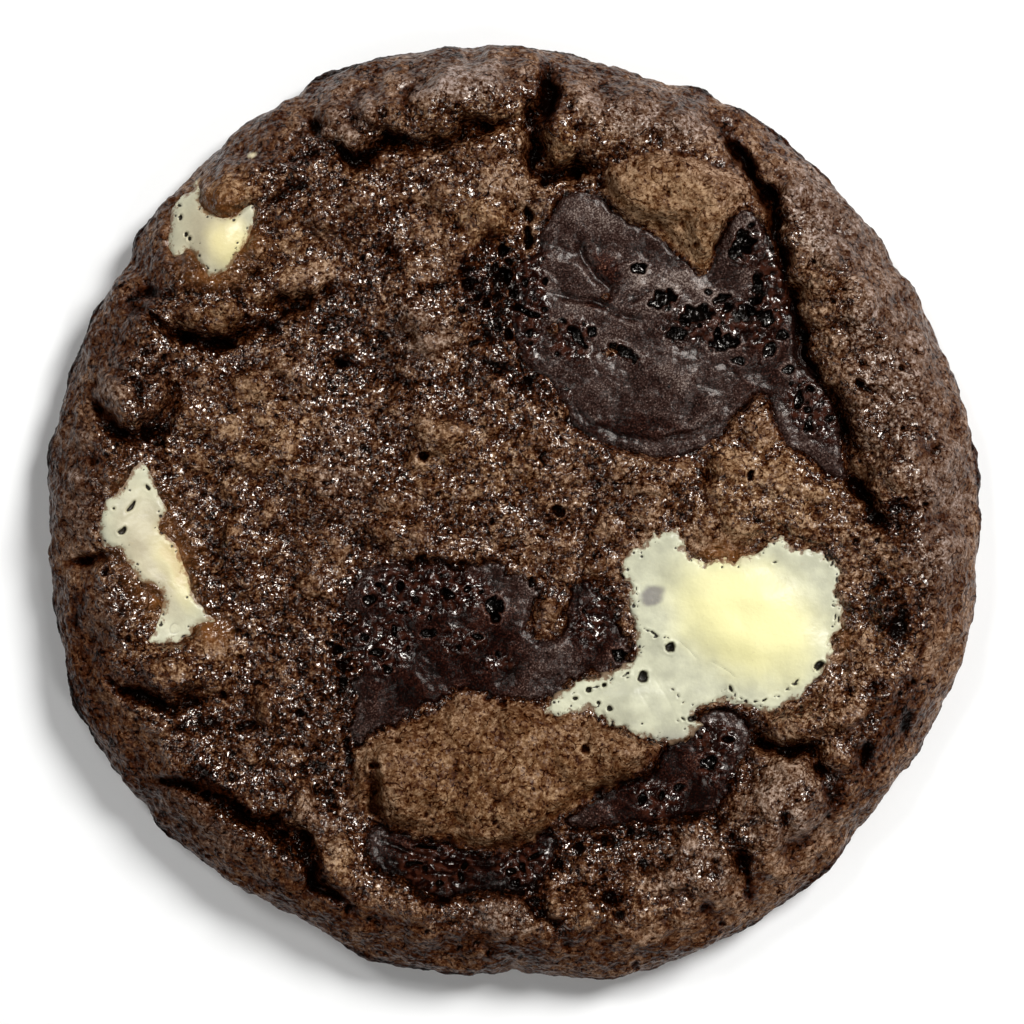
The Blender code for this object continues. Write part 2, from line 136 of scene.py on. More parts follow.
# Broad swells and hollows of the dough, by their rise
SWELLS = ovals({
    -0.8: ((-14, 15, 6.4, 8),),
    -0.7: ((-13.5, 24, 3.6, 2.8), (-35, 21, 3.2, 1.8)),
    -0.6: ((-21, -10.5, 5, 4),),
    -0.5: ((-25, -24, 4, 3),),
    -0.3: ((5, -2.6, 5, 3),),
    0.5: ((-24.6, 24.6, 3.4, 3), (-22.5, 6, 4, 3.2), (-26.5, -4, 3.4, 3.4), (-18, 1, 3.6, 3),
          (-7, 7.4, 3.8, 3), (-3, 1.6, 4, 3), (-23.4, -18.6, 2.6, 3.2), (36.5, -9, 3, 5), (37, 4, 3.4, 4.6),
          (33, 21, 4.4, 6.4, 30), (28, 32, 4.4, 4, 45)),
    0.6: ((33, 10, 3, 5, 20), (13, 39, 6, 3, -18), (-19, 22.4, 2.8, 2.2), (-7, 18, 4, 3.6),
          (-12, -2, 4, 2.4), (-20, -27.4, 3, 2.6), (-17, -34, 3, 2.6), (-9.5, -39, 4, 2.6),
          (6, -38.6, 4.6, 3.2, 10), (17, -36, 4.6, 4, 30)),
    0.7: ((-15, 28.8, 4.4, 3.4, 20), (4.6, 36, 2.2, 3.8), (-12.6, 38.4, 3.2, 2.4, 20), (-25, 11.4, 4, 2.8),
          (28, -20.4, 5, 2.2, 20)),
    0.8: ((-4, 40, 6, 4.2, 5), (-4, 29.5, 4.6, 6.4, 15), (-27.5, 31.2, 4.6, 3, 40),
          (-28.5, 18.6, 5.4, 2.6, 15), (-32, -15.2, 5.4, 2.8, -12), (26.2, -27.4, 4.6, 4.2)),
    0.9: ((24, 1, 9, 5.2),),
    1: ((-36.4, 10.8, 4.2, 4),),
    1.3: ((19.2, 27, 3.2, 4.8, 10),),
    1.5: ((14.5, 30.4, 7.2, 4.4, 8), (-9, -25.6, 7, 5.8), (8.2, -23.4, 7.2, 4, 12)),
    1.6: ((-1, -25.2, 8.5, 7.8),),
})

# Lumps of dough that stand out of it, by how light they are
LUMPS = ovals({
    0.3: ((-35.5, 18, 2.1, 1.7), (-37, 14.5, 2, 1.5), (40, 2, 2.1, 1.5), (28.4, -33, 1.7, 1.3)),
    0.4: ((-16, 41, 2.5, 1.2, 30), (-17.5, 38.5, 1.7, 2.2, 10), (-21.5, 36.8, 2.3, 1.3, 35),
          (-8.5, 34, 1.6, 1.1), (-24.3, 21.2, 1.7, 1.5), (-40.5, 7, 1.7, 1.1, 30), (-18.5, 9, 1.6, 1.3),
          (-13.5, 10.7, 1.7, 1.3), (-11.3, 10.2, 1.5, 1.1), (-13.3, 17.3, 1.7, 1.1), (-11, 1, 1.7, 2),
          (-21, -11, 1.6, 1.4), (-34, -21, 1.7, 1.5), (-25.4, -25.8, 1.3, 0.9), (-26, -32.8, 2.1, 1, -40),
          (-21.5, -36.5, 1.9, 1.3, -30), (-14.8, -40, 2.1, 1.1), (-1, -40, 1.5, 1.7), (19, 36, 1.7, 1.7),
          (32.5, 22.4, 1.5, 1.1), (36, 22, 1.7, 1.7), (33, 19.5, 2.1, 1.6), (37, 18.5, 1.5, 1.1),
          (41, 9, 1.5, 1.5), (38, 6, 1.5, 1.1), (36.6, 3, 1.7, 1.3), (41.5, 5, 1.5, 2),
          (34.5, -14.7, 1.7, 1.3), (42, -4, 1.5, 3), (36, -17.6, 1.7, 1.1), (27.6, -29.5, 1.7, 1.7),
          (11, -41, 2.5, 1.3), (5, -42.5, 3, 1.1)),
    0.5: ((-8.5, 39.4, 2, 1.4), (-1.5, 43, 1.4, 0.9), (-11.5, 41, 2, 1.2, 30), (-18.3, 28, 2.2, 2),
          (-24, 25, 1.7, 2.7, -15), (-25, 33, 1.7, 1.7), (-33.8, 23.6, 1.3, 0.7, -40),
          (-34.2, 26.5, 1, 2, -30), (-37.5, 11.4, 1.7, 1.7), (-33.4, 11, 1.5, 1.3), (-38, 3.2, 1.5, 0.9),
          (-22, 13.8, 1.9, 1.1), (-30, 5, 2.1, 1.6), (-20.5, 3.6, 2, 1.2), (-2, 8.5, 2.1, 1.7),
          (-23, 0, 1.8, 1.4, 20), (-38, -10, 1.5, 1.9), (-37.4, -5.6, 1.3, 1.7, 20),
          (-28.5, -16.6, 2.1, 1.3), (-38.8, -17, 2.1, 1.1, -35), (-22.4, -15, 1.4, 1.1),
          (-30, -22.3, 1.3, 1.7), (-31, -28.6, 3.6, 1.2, -35), (-27.8, -27.4, 1.7, 1, -30),
          (-25.2, -23, 1.5, 0.9, -50), (-19, -21.8, 1.3, 1.7, -20), (-23.4, -34, 1.9, 1.5),
          (-14, -38, 1.5, 1.3), (-8, -40.5, 1.7, 1.7), (1.5, 42.6, 2.1, 1.1), (7.5, 41.5, 1.5, 0.9),
          (6.9, 38.3, 1.7, 2.3), (7, 35.3, 1.5, 1.1), (12, 39.8, 2.6, 1.5), (12.5, 36.8, 2.7, 1.3),
          (16, 37.3, 2.1, 1.3), (25.5, 33.4, 1.9, 1.5), (27.4, 31, 2.1, 1.5), (29.3, 28, 2.3, 1.5),
          (30, 26, 1.9, 1.1), (30.3, 24, 1.9, 1.3), (33, 24.4, 1.5, 1.3), (31, 16, 1.5, 1.1),
          (35.5, 16.5, 1.9, 1.3), (36, 12.5, 1.9, 1.4), (38.6, 13.2, 1.6, 1.3), (37, 9, 1.7, 1.3),
          (9.5, 4, 1.7, 1.1), (1, 5, 1.7, 1.7), (16, 3.4, 1.7, 1.3), (1, 30, 1.5, 1.7),
          (0.6, 35.6, 1.3, 1.3), (9, -2, 2.3, 1.9), (8.5, -5, 2.1, 1.7), (4.5, -3, 2.1, 1.5),
          (33.5, -12.5, 1.9, 1.7), (40.5, -13.5, 1.7, 2.8, -20), (25, -34, 2.5, 1.5, -30),
          (20.5, -34, 1.3, 1.7), (11.5, -34.6, 2.1, 1.1, -35), (7.2, -34, 1.5, 1.5), (14, -40.6, 1.3, 1)),
    0.6: ((-5, 41, 4.5, 2.6, 15), (-10.8, 36.8, 1.5, 0.9, -10), (-2.5, 34.4, 2.6, 2),
          (-1.4, 31.8, 3.5, 2.4, 10), (-7, 30, 2.1, 1.7), (-8.3, 27.2, 2.1, 1.5, 50), (-14.5, 30, 2.6, 1.8),
          (-21, 26.5, 1.8, 3.5, 10), (-30.5, 18.8, 1.7, 1.3), (-41.8, 2.8, 1.8, 1.3),
          (-29.5, 12.5, 1.9, 1.5), (-30, 9, 2.1, 1.7), (-27, 2, 2.5, 1.5), (-7.8, 2.2, 1.7, 1.5),
          (-12, -2, 2.1, 1.5), (-8.5, -2, 1.9, 2), (-9, -37.7, 2.5, 1.7, -20), (-2, -37.8, 2.5, 1.4, -10),
          (-3.8, -42.2, 1.4, 1.1), (27.2, 24.3, 1.5, 1.3), (29, 21.5, 2.1, 2.1), (29.3, 18.7, 1.9, 1.7),
          (31, 12.7, 1.1, 0.8), (34.5, 6.5, 1.6, 1.7), (19, 2, 1.7, 1.3), (12.5, 2.3, 2.1, 1.4),
          (5.5, 3.5, 2.5, 1.5), (2.5, 7, 2.1, 1.6), (32, -19.5, 1.9, 1.7), (24.5, -27.2, 1.7, 1.7),
          (22, -28, 1.5, 1.9), (31.5, -23.6, 1.7, 1.5), (24.5, -31.5, 1.9, 1.9), (17, -32.6, 2.3, 2.1),
          (15, -35, 1.5, 1.7), (18.4, -35.8, 1.3, 1.1), (21, -37, 1.1, 1.9, 15), (16.5, -39, 1.7, 1.3)),
    0.7: ((-13.2, 38, 1.4, 1.7), (-15.5, 35.9, 1.8, 1.4), (-5.4, 24.4, 2.1, 1.9, 30),
          (-20.5, 22.3, 3.2, 2.1, 30), (-27, 8, 2.5, 1.9), (-23.5, 9.4, 2.1, 1.5), (-25, 5, 2.3, 1.5),
          (-18.3, 2, 1.7, 1.1), (-9.3, 18, 2.1, 1.7), (-25.2, -7, 1.7, 1.5, 30), (-19, -7, 2.1, 1.7, -30),
          (-32.6, -15.6, 3.2, 1.9, -10), (-36.5, -18.3, 1.4, 0.8, -35), (-17.6, -29.6, 2.6, 1.1, -10),
          (-14.6, -27, 1.1, 3.2, 5), (4, 36.6, 1.7, 1.5), (4.6, 34.2, 2, 1.3), (23.7, 34.9, 1.2, 1),
          (33.4, 4.3, 1.4, 1.3), (37.4, -7.6, 0.8, 0.8), (26.5, -20.6, 3.1, 1.4, 5), (23.8, -23.4, 1, 1),
          (16.7, -30, 1.5, 1.3), (4, -37, 1.3, 1.9, -10)),
    0.8: ((-12.3, 33.4, 1.7, 1.4), (-31.4, 31, 0.8, 0.7), (-27.2, 18.6, 2.7, 1.8, 35), (-17.8, 4, 1.7, 1.3),
          (-8, 16, 1.9, 1.5), (-8.8, 5, 1.7, 1.5), (-3.3, 2, 1.5, 1.1), (-26.7, -2, 1, 2.1, -15),
          (-23.6, -18.8, 1.3, 2.2), (-20, -28, 1.3, 2.5, -10), (-16.3, -31.8, 1.9, 1.7, -40),
          (-17.2, -33.6, 2.1, 1.5, -20), (-15.9, -34.9, 1.5, 1.1), (33.3, 10.8, 1.8, 1.1),
          (21, 4.4, 2.4, 1.7), (25, 3.6, 2.6, 1.8), (28.5, 1.8, 2.8, 1.5, -15), (28.6, -1.8, 2.7, 1.5, -20),
          (37.6, -4.6, 2.1, 1.5, -20), (26.5, -24.7, 3, 1.9)),
    0.9: ((-2.6, 28.3, 3.4, 2.4, 10), (-27.4, 30.9, 3.2, 2.5), (-21.6, 6.8, 2.3, 1.5, 30),
          (-6, 7.5, 2.6, 1.9), (-28.5, -13, 2.8, 1.9), (20, -2.4, 5.2, 2.6), (3.4, -9.4, 1.5, 2.3),
          (7, -37.9, 1.7, 2.5, 15)),
    1: ((-25.2, 11.7, 2.8, 1.8, -10), (-16.4, -3.9, 1.8, 1.4, 30), (24, 7.6, 2.1, 2.7, -30)),
})

# Smooth plateaus of dough with a steep edge: rise, shoulder width, outline
PLATEAUS = (
    (0.9, 1.6,
     ((9.3, 33), (14, 34.6), (19, 33.2), (22, 32), (22.8, 30), (21.2, 28.7), (20.2, 27.5), (19.8, 25.5),
      (18.8, 23.4), (17.8, 22.6), (16.8, 24), (14.5, 25.8), (13.4, 27), (10.8, 28.5), (9, 30), (8.6, 31.5))),
    (1, 1.8,
     ((-15.2, -24.5), (-14.2, -22.2), (-12, -20.8), (-9.5, -19.8), (-7, -18.8), (-5, -17.2), (-3, -17.3),
      (1, -18.2), (5, -19.3), (8, -19.6), (10, -20.8), (12, -21.5), (14.3, -22.2), (13.9, -23.4),
      (11, -25.8), (7.7, -27.6), (4.8, -29.1), (2.6, -31.2), (-0.6, -32.6), (-4.2, -32.4), (-8, -31.2),
      (-12.4, -30), (-15, -27.5))),
)

# Clefts: half width, depth, points along the bottom
CLEFTS = (
    (0.8, 2, ((-17.5, 35), (-15, 33.4), (-11.5, 35.3), (-6.5, 35.3), (-3.8, 36.6), (1.8, 38))),
    (0.9, 2.2, ((3.8, 43.3), (3.5, 40), (1.8, 36), (2.2, 33), (6.3, 32.5), (9, 33.2))),
    (0.9, 2.6,
     ((19.2, 38.3), (22.2, 33.5), (24.6, 30), (25.6, 24.5), (26.4, 20.5), (27.5, 15), (30.7, 10.5), (32, 6),
      (34.2, 0.5), (37, -2))),
    (0.7, 1.6, ((-38, 20.3), (-33, 17.6), (-28.5, 15.9), (-24.3, 17.8), (-22.8, 16.8))),
    (0.7, 1.4, ((-24, 19.8), (-21.5, 19.8), (-18.5, 21), (-16.5, 22))),
    (0.7, 1.5, ((-40, 12), (-39.6, 9), (-36.5, 7), (-33.2, 7.6), (-31.9, 11.5), (-33.4, 13.6))),
    (0.7, 1.3, ((-42, -4.8), (-38.5, -3.9))),
    (0.8, 1.5, ((-38, -16.8), (-34, -18.4), (-29, -18.3))),
    (0.9, 2, ((-34.5, -25.5), (-29, -27), (-25, -29.6), (-20.5, -30.9), (-18.4, -35.5), (-15.5, -37.8))),
    (0.8, 1.6, ((-13.6, -24.5), (-13.2, -27.5), (-12.8, -29.5))),
    (0.8, 1.6, ((22.4, -20.4), (24.5, -22.4), (28.5, -22.8), (30, -25))),
    (0.7, 1.3, ((2.2, -36.6), (2.5, -38), (4.5, -40.5))),
    (0.7, 1.3, ((21.5, -32.5), (22.6, -36))),
    (0.3, 0.7, ((-13.5, 36), (-12.2, 37.7), (-13.5, 39.7))),
    (0.3, 0.7, ((-10, 36.5), (-10.3, 38.5), (-9.5, 42))),
    (0.3, 0.6, ((-22.8, 30), (-21.5, 30.2), (-19.5, 31.8))),
    (0.3, 0.6, ((-41, -7), (-41.2, -9), (-42.2, -11.2))),
    (0.3, 0.5, ((2.5, -27.3), (3.4, -28.4), (4, -29.2))),
    (0.3, 0.5, ((33.8, -22), (33.5, -24.5))),
    (0.14, 0.4, ((-4.6, -22.2), (-3, -22.8), (-1, -22.5))),
    (0.14, 0.35, ((-4.9, -23.8), (-4, -25))),
    (0.14, 0.35, ((-1.3, -27.3), (-2.4, -28.4))),
    (0.12, 0.3, ((0.4, -19), (2.2, -19.9), (4.4, -19.9))),
    (0.12, 0.3, ((5.6, -23), (6.4, -24.2), (6.2, -25.6))),
    (0.12, 0.3, ((-9, -20.6), (-9.3, -22.2))),
)

# Greasy, sparkling patches of dough, by strength
WET = ovals({
    0.3: ((5, -2, 6, 4), (31, 20, 3, 4)),
    0.4: ((-8, -40, 12, 3), (0, 36, 6, 3), (23, 25, 3, 10), (33, -24, 4, 5), (-7, 11, 4, 2)),
    0.5: ((-36, 16, 4, 4), (-36, -22, 4, 7, 30), (-20, -12, 4, 4), (-19, -20, 3, 6), (-40, 4, 3, 9)),
    0.6: ((-12.5, 6, 3, 5),),
    0.7: ((-11.5, 28, 2, 2), (-30, -21, 6, 4), (11, -32, 9, 4), (35, -8, 3, 5)),
    0.8: ((-15.5, 12, 4, 5), (-24.5, -28, 8, 4.5, -35), (-21, -2, 4, 2), (-20, 34, 6, 3, 30),
          (-1.5, 20, 4, 8)),
    0.9: ((-19, 17.5, 4, 2.4), (-35, 21, 4.5, 2.5)),
    1: ((-13.5, 23.5, 4, 3.4),),
})

# Dark hollows between the lumps, by strength: darker greasy dough, with painted shade in the crevices
DARKS = ovals({
    0.4: ((-20, -15, 1.2, 2.4), (-23, -12.4, 1.4, 1)),
    0.5: ((-17.5, 17.6, 2, 1.4), (-10.5, 12.6, 4, 0.8, -10), (-36, -24, 1.5, 1.5), (33.2, 14, 1, 0.8),
          (35, -16.4, 1.4, 1), (18.8, -38, 1.2, 1.2), (5.2, -41, 1, 1.2), (32, -17, 1, 0.8)),
    0.6: ((-19, 36.6, 0.8, 1.5, 20), (-22.6, 29.8, 1.2, 0.7), (-33, 14.6, 1.8, 1), (-40, 5, 2, 0.8),
          (-7, 21.4, 1.4, 1), (-25.5, -20.6, 1.6, 0.9), (-19, -24.6, 1.6, 1.1), (-22, -26.5, 1.6, 1.2),
          (36.6, 0.4, 2, 1.2), (9, 31, 1.8, 0.7, -30), (26, -29.2, 0.7, 1.3), (29.7, -24.6, 0.7, 1.7),
          (12.7, -33.6, 1.1, 0.8)),
    0.7: ((-34.6, 13.6, 1.8, 0.7, 10), (-11.8, 25, 1.4, 2.5, 30), (-2.2, 24.2, 2, 1.4), (-4, 22.6, 2.4, 3.6),
          (-42, -9, 0.9, 2.4), (-29.6, -20.4, 3.6, 0.8, 5), (-23, -30, 2.5, 1.5, -20),
          (34, 11.7, 1.5, 0.5, -20), (35, -6.6, 1.2, 1.4), (37.8, -20, 1.2, 1.4), (21, -31.2, 1.3, 0.9),
          (8.2, -9, 3, 3), (-8, -5.6, 8, 1.4)),
    0.8: ((-20, 34, 3, 1.2, 20), (1.8, 37.6, 1, 1), (-24.8, 18.6, 1, 0.8), (-20.5, 19.3, 2.4, 0.7, 20),
          (-35.8, 12, 0.8, 1.6), (-3.4, 21, 2.6, 2), (-2, 17, 3, 1.7), (-1, 13.8, 3.2, 0.9, -10),
          (3, 12, 2, 1.6, -30), (-38, -16.2, 1.2, 0.6, -30), (-15.3, -38.2, 1.2, 0.7),
          (-17.5, -27.5, 1, 2.4, 10), (-15.6, -22.6, 0.8, 3), (37, -10.8, 1.2, 2.2),
          (30.7, -26.6, 1.8, 2.7, 20), (22.7, -36.2, 0.8, 1.6), (4.4, -39.6, 1.3, 0.8, -50),
          (13, -30.8, 3.2, 1.1), (19.6, -29.4, 1.3, 1.6), (14, -27.4, 8, 3, 25), (-15.8, -13, 2.2, 8.5)),
    0.9: ((-2.2, 36.8, 1.7, 0.8, -10), (1.9, 34, 0.8, 2), (-35, 20.7, 3.4, 0.9, 10),
          (-23, 17.8, 1.8, 1, -30), (-16, 14.5, 2.3, 0.9, -30), (-34.3, 7.8, 1.6, 2.8, -25),
          (-39.5, 9.7, 0.8, 1.4), (1.2, 12.4, 3, 2.4, -40), (-35, -18, 4, 0.9, -15),
          (-32, -25.8, 3, 0.9, -15), (-29.5, -25, 1.7, 1.4), (-27.5, -26.8, 1.8, 1.2, -30),
          (-20, -31.8, 2, 1, -30), (-13.2, -30.6, 1.7, 1.6), (25, 27.4, 1, 2.6), (34, -23.6, 1.1, 2, 10),
          (24, -22.2, 1.8, 0.7, -25), (27, -22.9, 2.8, 0.7), (21.4, -22, 2.4, 2.6), (22.2, -33, 1, 2.2),
          (9.7, -36.8, 1.7, 1), (2, -37.4, 2.5, 0.8, -50), (7.6, -31.4, 3.4, 1.2)),
    1: ((-15, 33.8, 3.5, 1), (-11.5, 35.4, 3, 0.8, 5), (-20.5, 31.2, 1.8, 0.8, 10), (3.4, 39.4, 1.3, 4.6, 5),
        (-31, 16.6, 2.2, 1, -20), (-28, 16, 2.4, 0.8, 5), (-37.8, 7.8, 2.4, 0.9, -20), (-0.6, 21, 3.4, 8, 8),
        (-41.3, -4.6, 1.8, 0.9, 20), (-26, -29, 3, 1.2, -40), (-19.3, -34.6, 0.9, 3, 25),
        (-17, -37, 2, 0.8, -25), (-13, -27, 0.7, 3.2, -5), (-9, -16.8, 4.5, 0.8, 10), (-4, -34.4, 10, 2.6),
        (22.3, 33.8, 3.8, 1, -58), (24.6, 30, 1.4, 1.5), (25.7, 23, 1, 3), (27.4, 18, 4, 1, -75),
        (28.2, 14.4, 2.8, 1, -60), (31.4, 8.6, 2.6, 1, -50), (33.3, 2.2, 3.8, 0.9, -55),
        (35, -1, 2.4, 1, -50), (3.4, 32.2, 2.2, 0.8), (6.4, 32.4, 1.4, 0.8, 10), (10.2, -38.3, 1, 0.8),
        (2.6, -34, 3.2, 1.9)),
})

# Amber, sugary stains beside the white chocolate, by strength
STAINS = ovals({
    0.3: ((31.5, -12, 1, 4),),
    0.55: ((-28.6, 26.8, 6, 7), (-34, -4, 5, 11, 20)),
    0.7: ((-29, 22.2, 3, 1.2),),
    0.8: ((-25.4, 25, 1.4, 2.6, -30), (20.3, -4, 3.8, 1.3)),
    0.9: ((-28.6, -11.4, 2.4, 2), (-33.9, -8.5, 1.4, 1.2)),
    1: ((-32.2, -4.8, 1.8, 5, 24),),
})

# Golden and rosy parts of the crust, by strength
GOLDEN = ovals({
    0.5: ((-14, 32.6, 4, 2),),
    0.6: ((36, -10, 5, 6), (-3, 4, 10, 7), (8, -38, 3.4, 3.4), (-22.5, 25, 4.5, 5)),
    0.7: ((-25, 7, 9, 8), (-31, -13, 10, 5, -20), (-17, -33, 3.4, 3.4), (-27, -5, 5, 8)),
    0.8: ((-26, 19, 7, 2.8, 15),),
    0.9: ((15, 29, 8, 5.5, -20), (24, 2, 11, 7.5), (-3, 27.5, 5, 4)),
    1: ((-0.5, -25, 17, 9), (17.5, 25, 3.4, 3.6), (-27.4, 30.4, 4.4, 3.4), (-4, 37, 7, 2.6, 5),
        (4.5, 35, 2.6, 3.4)),
})
ROSY = ovals({
    0.5: ((-37, 12, 5, 5), (-16, 4, 4, 8), (-18, -29, 3, 5)),
    0.6: ((26, -28, 7, 6), (17, -34, 6, 4.6), (-9, 17, 5, 5)),
    0.7: ((-16, 37.6, 6, 4, 20), (-1.5, -38.5, 5, 3.4)),
    0.8: ((-38.6, -10, 3, 3.6), (-30.5, -29, 8, 2.4, -38)),
    0.9: ((13, 38.5, 10, 4, -15), (37, 14, 7, 15, 8), (41, 0, 4.5, 13, -5), (-42, 3, 3.6, 8)),
    1: ((-5, 41.5, 8, 3.4, 5), (31, 28, 6, 9, 45)),
})

# Lighter parts of the crust, and darker ones with a minus, by how much: partly the crust's own tone and
# partly painted light and shade, lifting the left of the rim and slopes that the lamps leave dim, darkening
# parts of the lit right rim
TONE_AND_LIGHT = ovals({
    -0.3: ((37.4, -9.7, 3.8, 5.2, -14),),
    -0.28: ((36, -19.5, 4, 5, -28),),
    -0.26: ((37.8, -1, 3.4, 5),),
    -0.18: ((-21, -37, 5, 2.5, -30),),
    -0.17: ((10.5, 40.2, 4.5, 1.9, -15),),
    -0.16: ((-13.5, 22.5, 8, 1.6, 38),),
    -0.14: ((-9.5, 14.2, 8, 1.5, -20), (0, -41.5, 9, 2.5), (-4, -34.5, 12, 3.6)),
    -0.13: ((9.8, -36.6, 5, 2.5, -15),),
    -0.1: ((-24, -20.5, 7, 5, -20), (-30, -27, 8, 3, -38), (-17.5, -20, 5, 9), (-34, -17.5, 9, 2.4, -10),
           (14, -29, 9, 3, 20)),
    -0.08: ((-36, -23, 6, 17, 38), (33, -24, 4, 6), (-2, 20, 4, 6)),
    -0.06: ((-1, -25, 20, 10), (-22, -33, 10, 4, -35), (38, 12, 8, 24, 5), (8, -34, 8, 3)),
    -0.05: ((14, 31, 9, 6, -15), (-14.5, 19.5, 5, 9), (-37, 15, 5, 9)),
    -0.04: ((0, 6, 9, 6, 10), (0, -36, 10, 4)),
    0.04: ((-13, 9, 4, 6),),
    0.05: ((-26, 14, 6, 4), (-12.5, 24.5, 5, 5), (-3, 5, 9, 6), (26, -26, 5, 4)),
    0.06: ((-27, -31.5, 4, 8, 51), (18, 25, 4, 5), (24, 3, 12, 8), (12, 38.5, 11, 4, -15), (-9, 17.5, 4, 5)),
    0.08: ((-16, 24.5, 4.5, 3, 20), (-1.5, 30.5, 6, 5.5)),
    0.09: ((0, -38.6, 5, 2.8),),
    0.1: ((-25, 7.5, 12, 9), (-5, 41, 9, 4, 10), (33, 19.5, 3, 5.5, 20), (27.4, 27.4, 3, 5, 45)),
    0.11: ((-12.2, 40, 5, 3, 17), (-38, 20, 3, 5, -28), (15, 30, 10, 6.5, -15)),
    0.12: ((-20, -28.5, 2, 4), (-16.5, -33, 3, 3)),
    0.13: ((-10, 37.4, 5, 2.8, 10),),
    0.14: ((-1, 37.5, 6, 2.5, 3), (-20.5, 24, 6.5, 5.5)),
    0.16: ((10.5, 36.2, 3.5, 2, -15),),
    0.17: ((-40.1, 10.7, 4, 9, -15),),
    0.18: ((-41, -5, 4, 9, 7), (-35.5, -21.5, 4, 9, 31)),
})

# A speck of white chocolate in the dough
SPECKS = ovals({1: ((-24.9, 34.4, 0.6, 0.35, 20),)})

# Holes in the crust and in the chocolate, by depth
CRUST_PITS = ovals({
    0.5: ((-22.2, 26.2, 0.25, 0.25), (-3.6, 16.2, 0.6, 0.25, 20)),
    0.6: ((5.2, 8.8, 0.3, 0.5), (-0.6, 25, 0.6, 0.35, 30)),
    0.7: ((-1.5, 20.6, 0.5, 0.4), (4.2, 9.3, 0.35, 0.4), (3, 31.4, 0.5, 0.4)),
    0.8: ((1.6, 28.5, 0.5, 0.8, 20), (0.3, 21, 0.6, 0.5), (0.7, 14.6, 0.26, 1, 25)),
    0.9: ((4.4, 0.1, 0.6, 0.55), (1.6, 26.2, 0.45, 1.3, 5), (-0.3, 16.9, 0.45, 0.6)),
    1: ((-0.9, 22.7, 0.7, 0.65, 20),),
})
DARK_PITS = ovals({
    0.3: ((15.1, 12, 0.15, 0.15),),
    0.4: ((30.4, 9, 0.5, 0.35),),
    0.5: ((18.9, 21, 0.4, 0.3), (25.9, 17, 0.6, 0.6), (21.6, 14.4, 0.6, 0.4), (28.6, 8.2, 0.4, 0.7, 10)),
    0.6: ((22.2, 18.9, 1.1, 0.8), (26.5, 13.6, 0.6, 0.5), (4.4, 10.2, 0.5, 0.8), (24.6, 15.4, 0.8, 0.5, 60)),
    0.7: ((20, 20.5, 0.9, 0.4, 20), (27.5, 10.7, 0.4, 0.8, -20)),
    0.8: ((24.2, 18.5, 0.9, 0.8), (15.7, 17.1, 0.9, 0.6), (10.6, 15.4, 1.5, 0.55, -25),
          (6.2, 16.9, 0.5, 1.4, 35), (22, 25.5, 1.3, 0.9, 40), (3.6, 30.3, 0.7, 0.6)),
    0.9: ((12.2, 23.3, 0.75, 0.6), (17.5, 18.9, 1.6, 0.8, 10), (1.2, 19.2, 1.9, 0.34, -20),
          (23.5, 21.8, 0.5, 1.3)),
    1: ((20.3, 16.2, 1.4, 0.7, 8),),
    1.1: ((14.5, 20.4, 1.2, 0.9, 20),),
})
MIDDLE_PITS = ovals({
    0.5: ((-10.6, -9.6, 0.8, 0.16), (-5.1, -13, 0.4, 0.3)),
    0.6: ((2, -6.8, 0.5, 0.4), (-11.4, -11.3, 0.3, 0.6), (-3.4, -12.1, 0.5, 0.5), (-6, -8, 0.6, 0.5),
          (-13.6, -8.4, 0.6, 0.6), (-8, -11.6, 0.7, 0.5)),
    0.7: ((-13, -13.5, 0.7, 0.5, 30),),
    0.8: ((-1.6, -10.2, 0.5, 0.5), (10.3, -13.8, 0.7, 0.6)),
    1.2: ((-1.7, -9.1, 0.9, 0.9),),
})
WHITE_PITS = ovals({
    0.4: ((8.3, -18.3, 0.2, 0.2), (14, -1.9, 0.3, 0.25)),
    0.5: ((6, -17.8, 0.3, 0.2), (9.4, -18.9, 0.25, 0.3)),
    0.6: ((7.3, -17, 0.35, 0.25), (8.9, -16.6, 0.3, 0.25), (17.2, -19.8, 0.5, 0.35)),
    0.9: ((15, -12.9, 0.55, 0.5), (12.5, -15.7, 0.55, 0.5), (29.5, -14.8, 0.5, 0.5)),
})

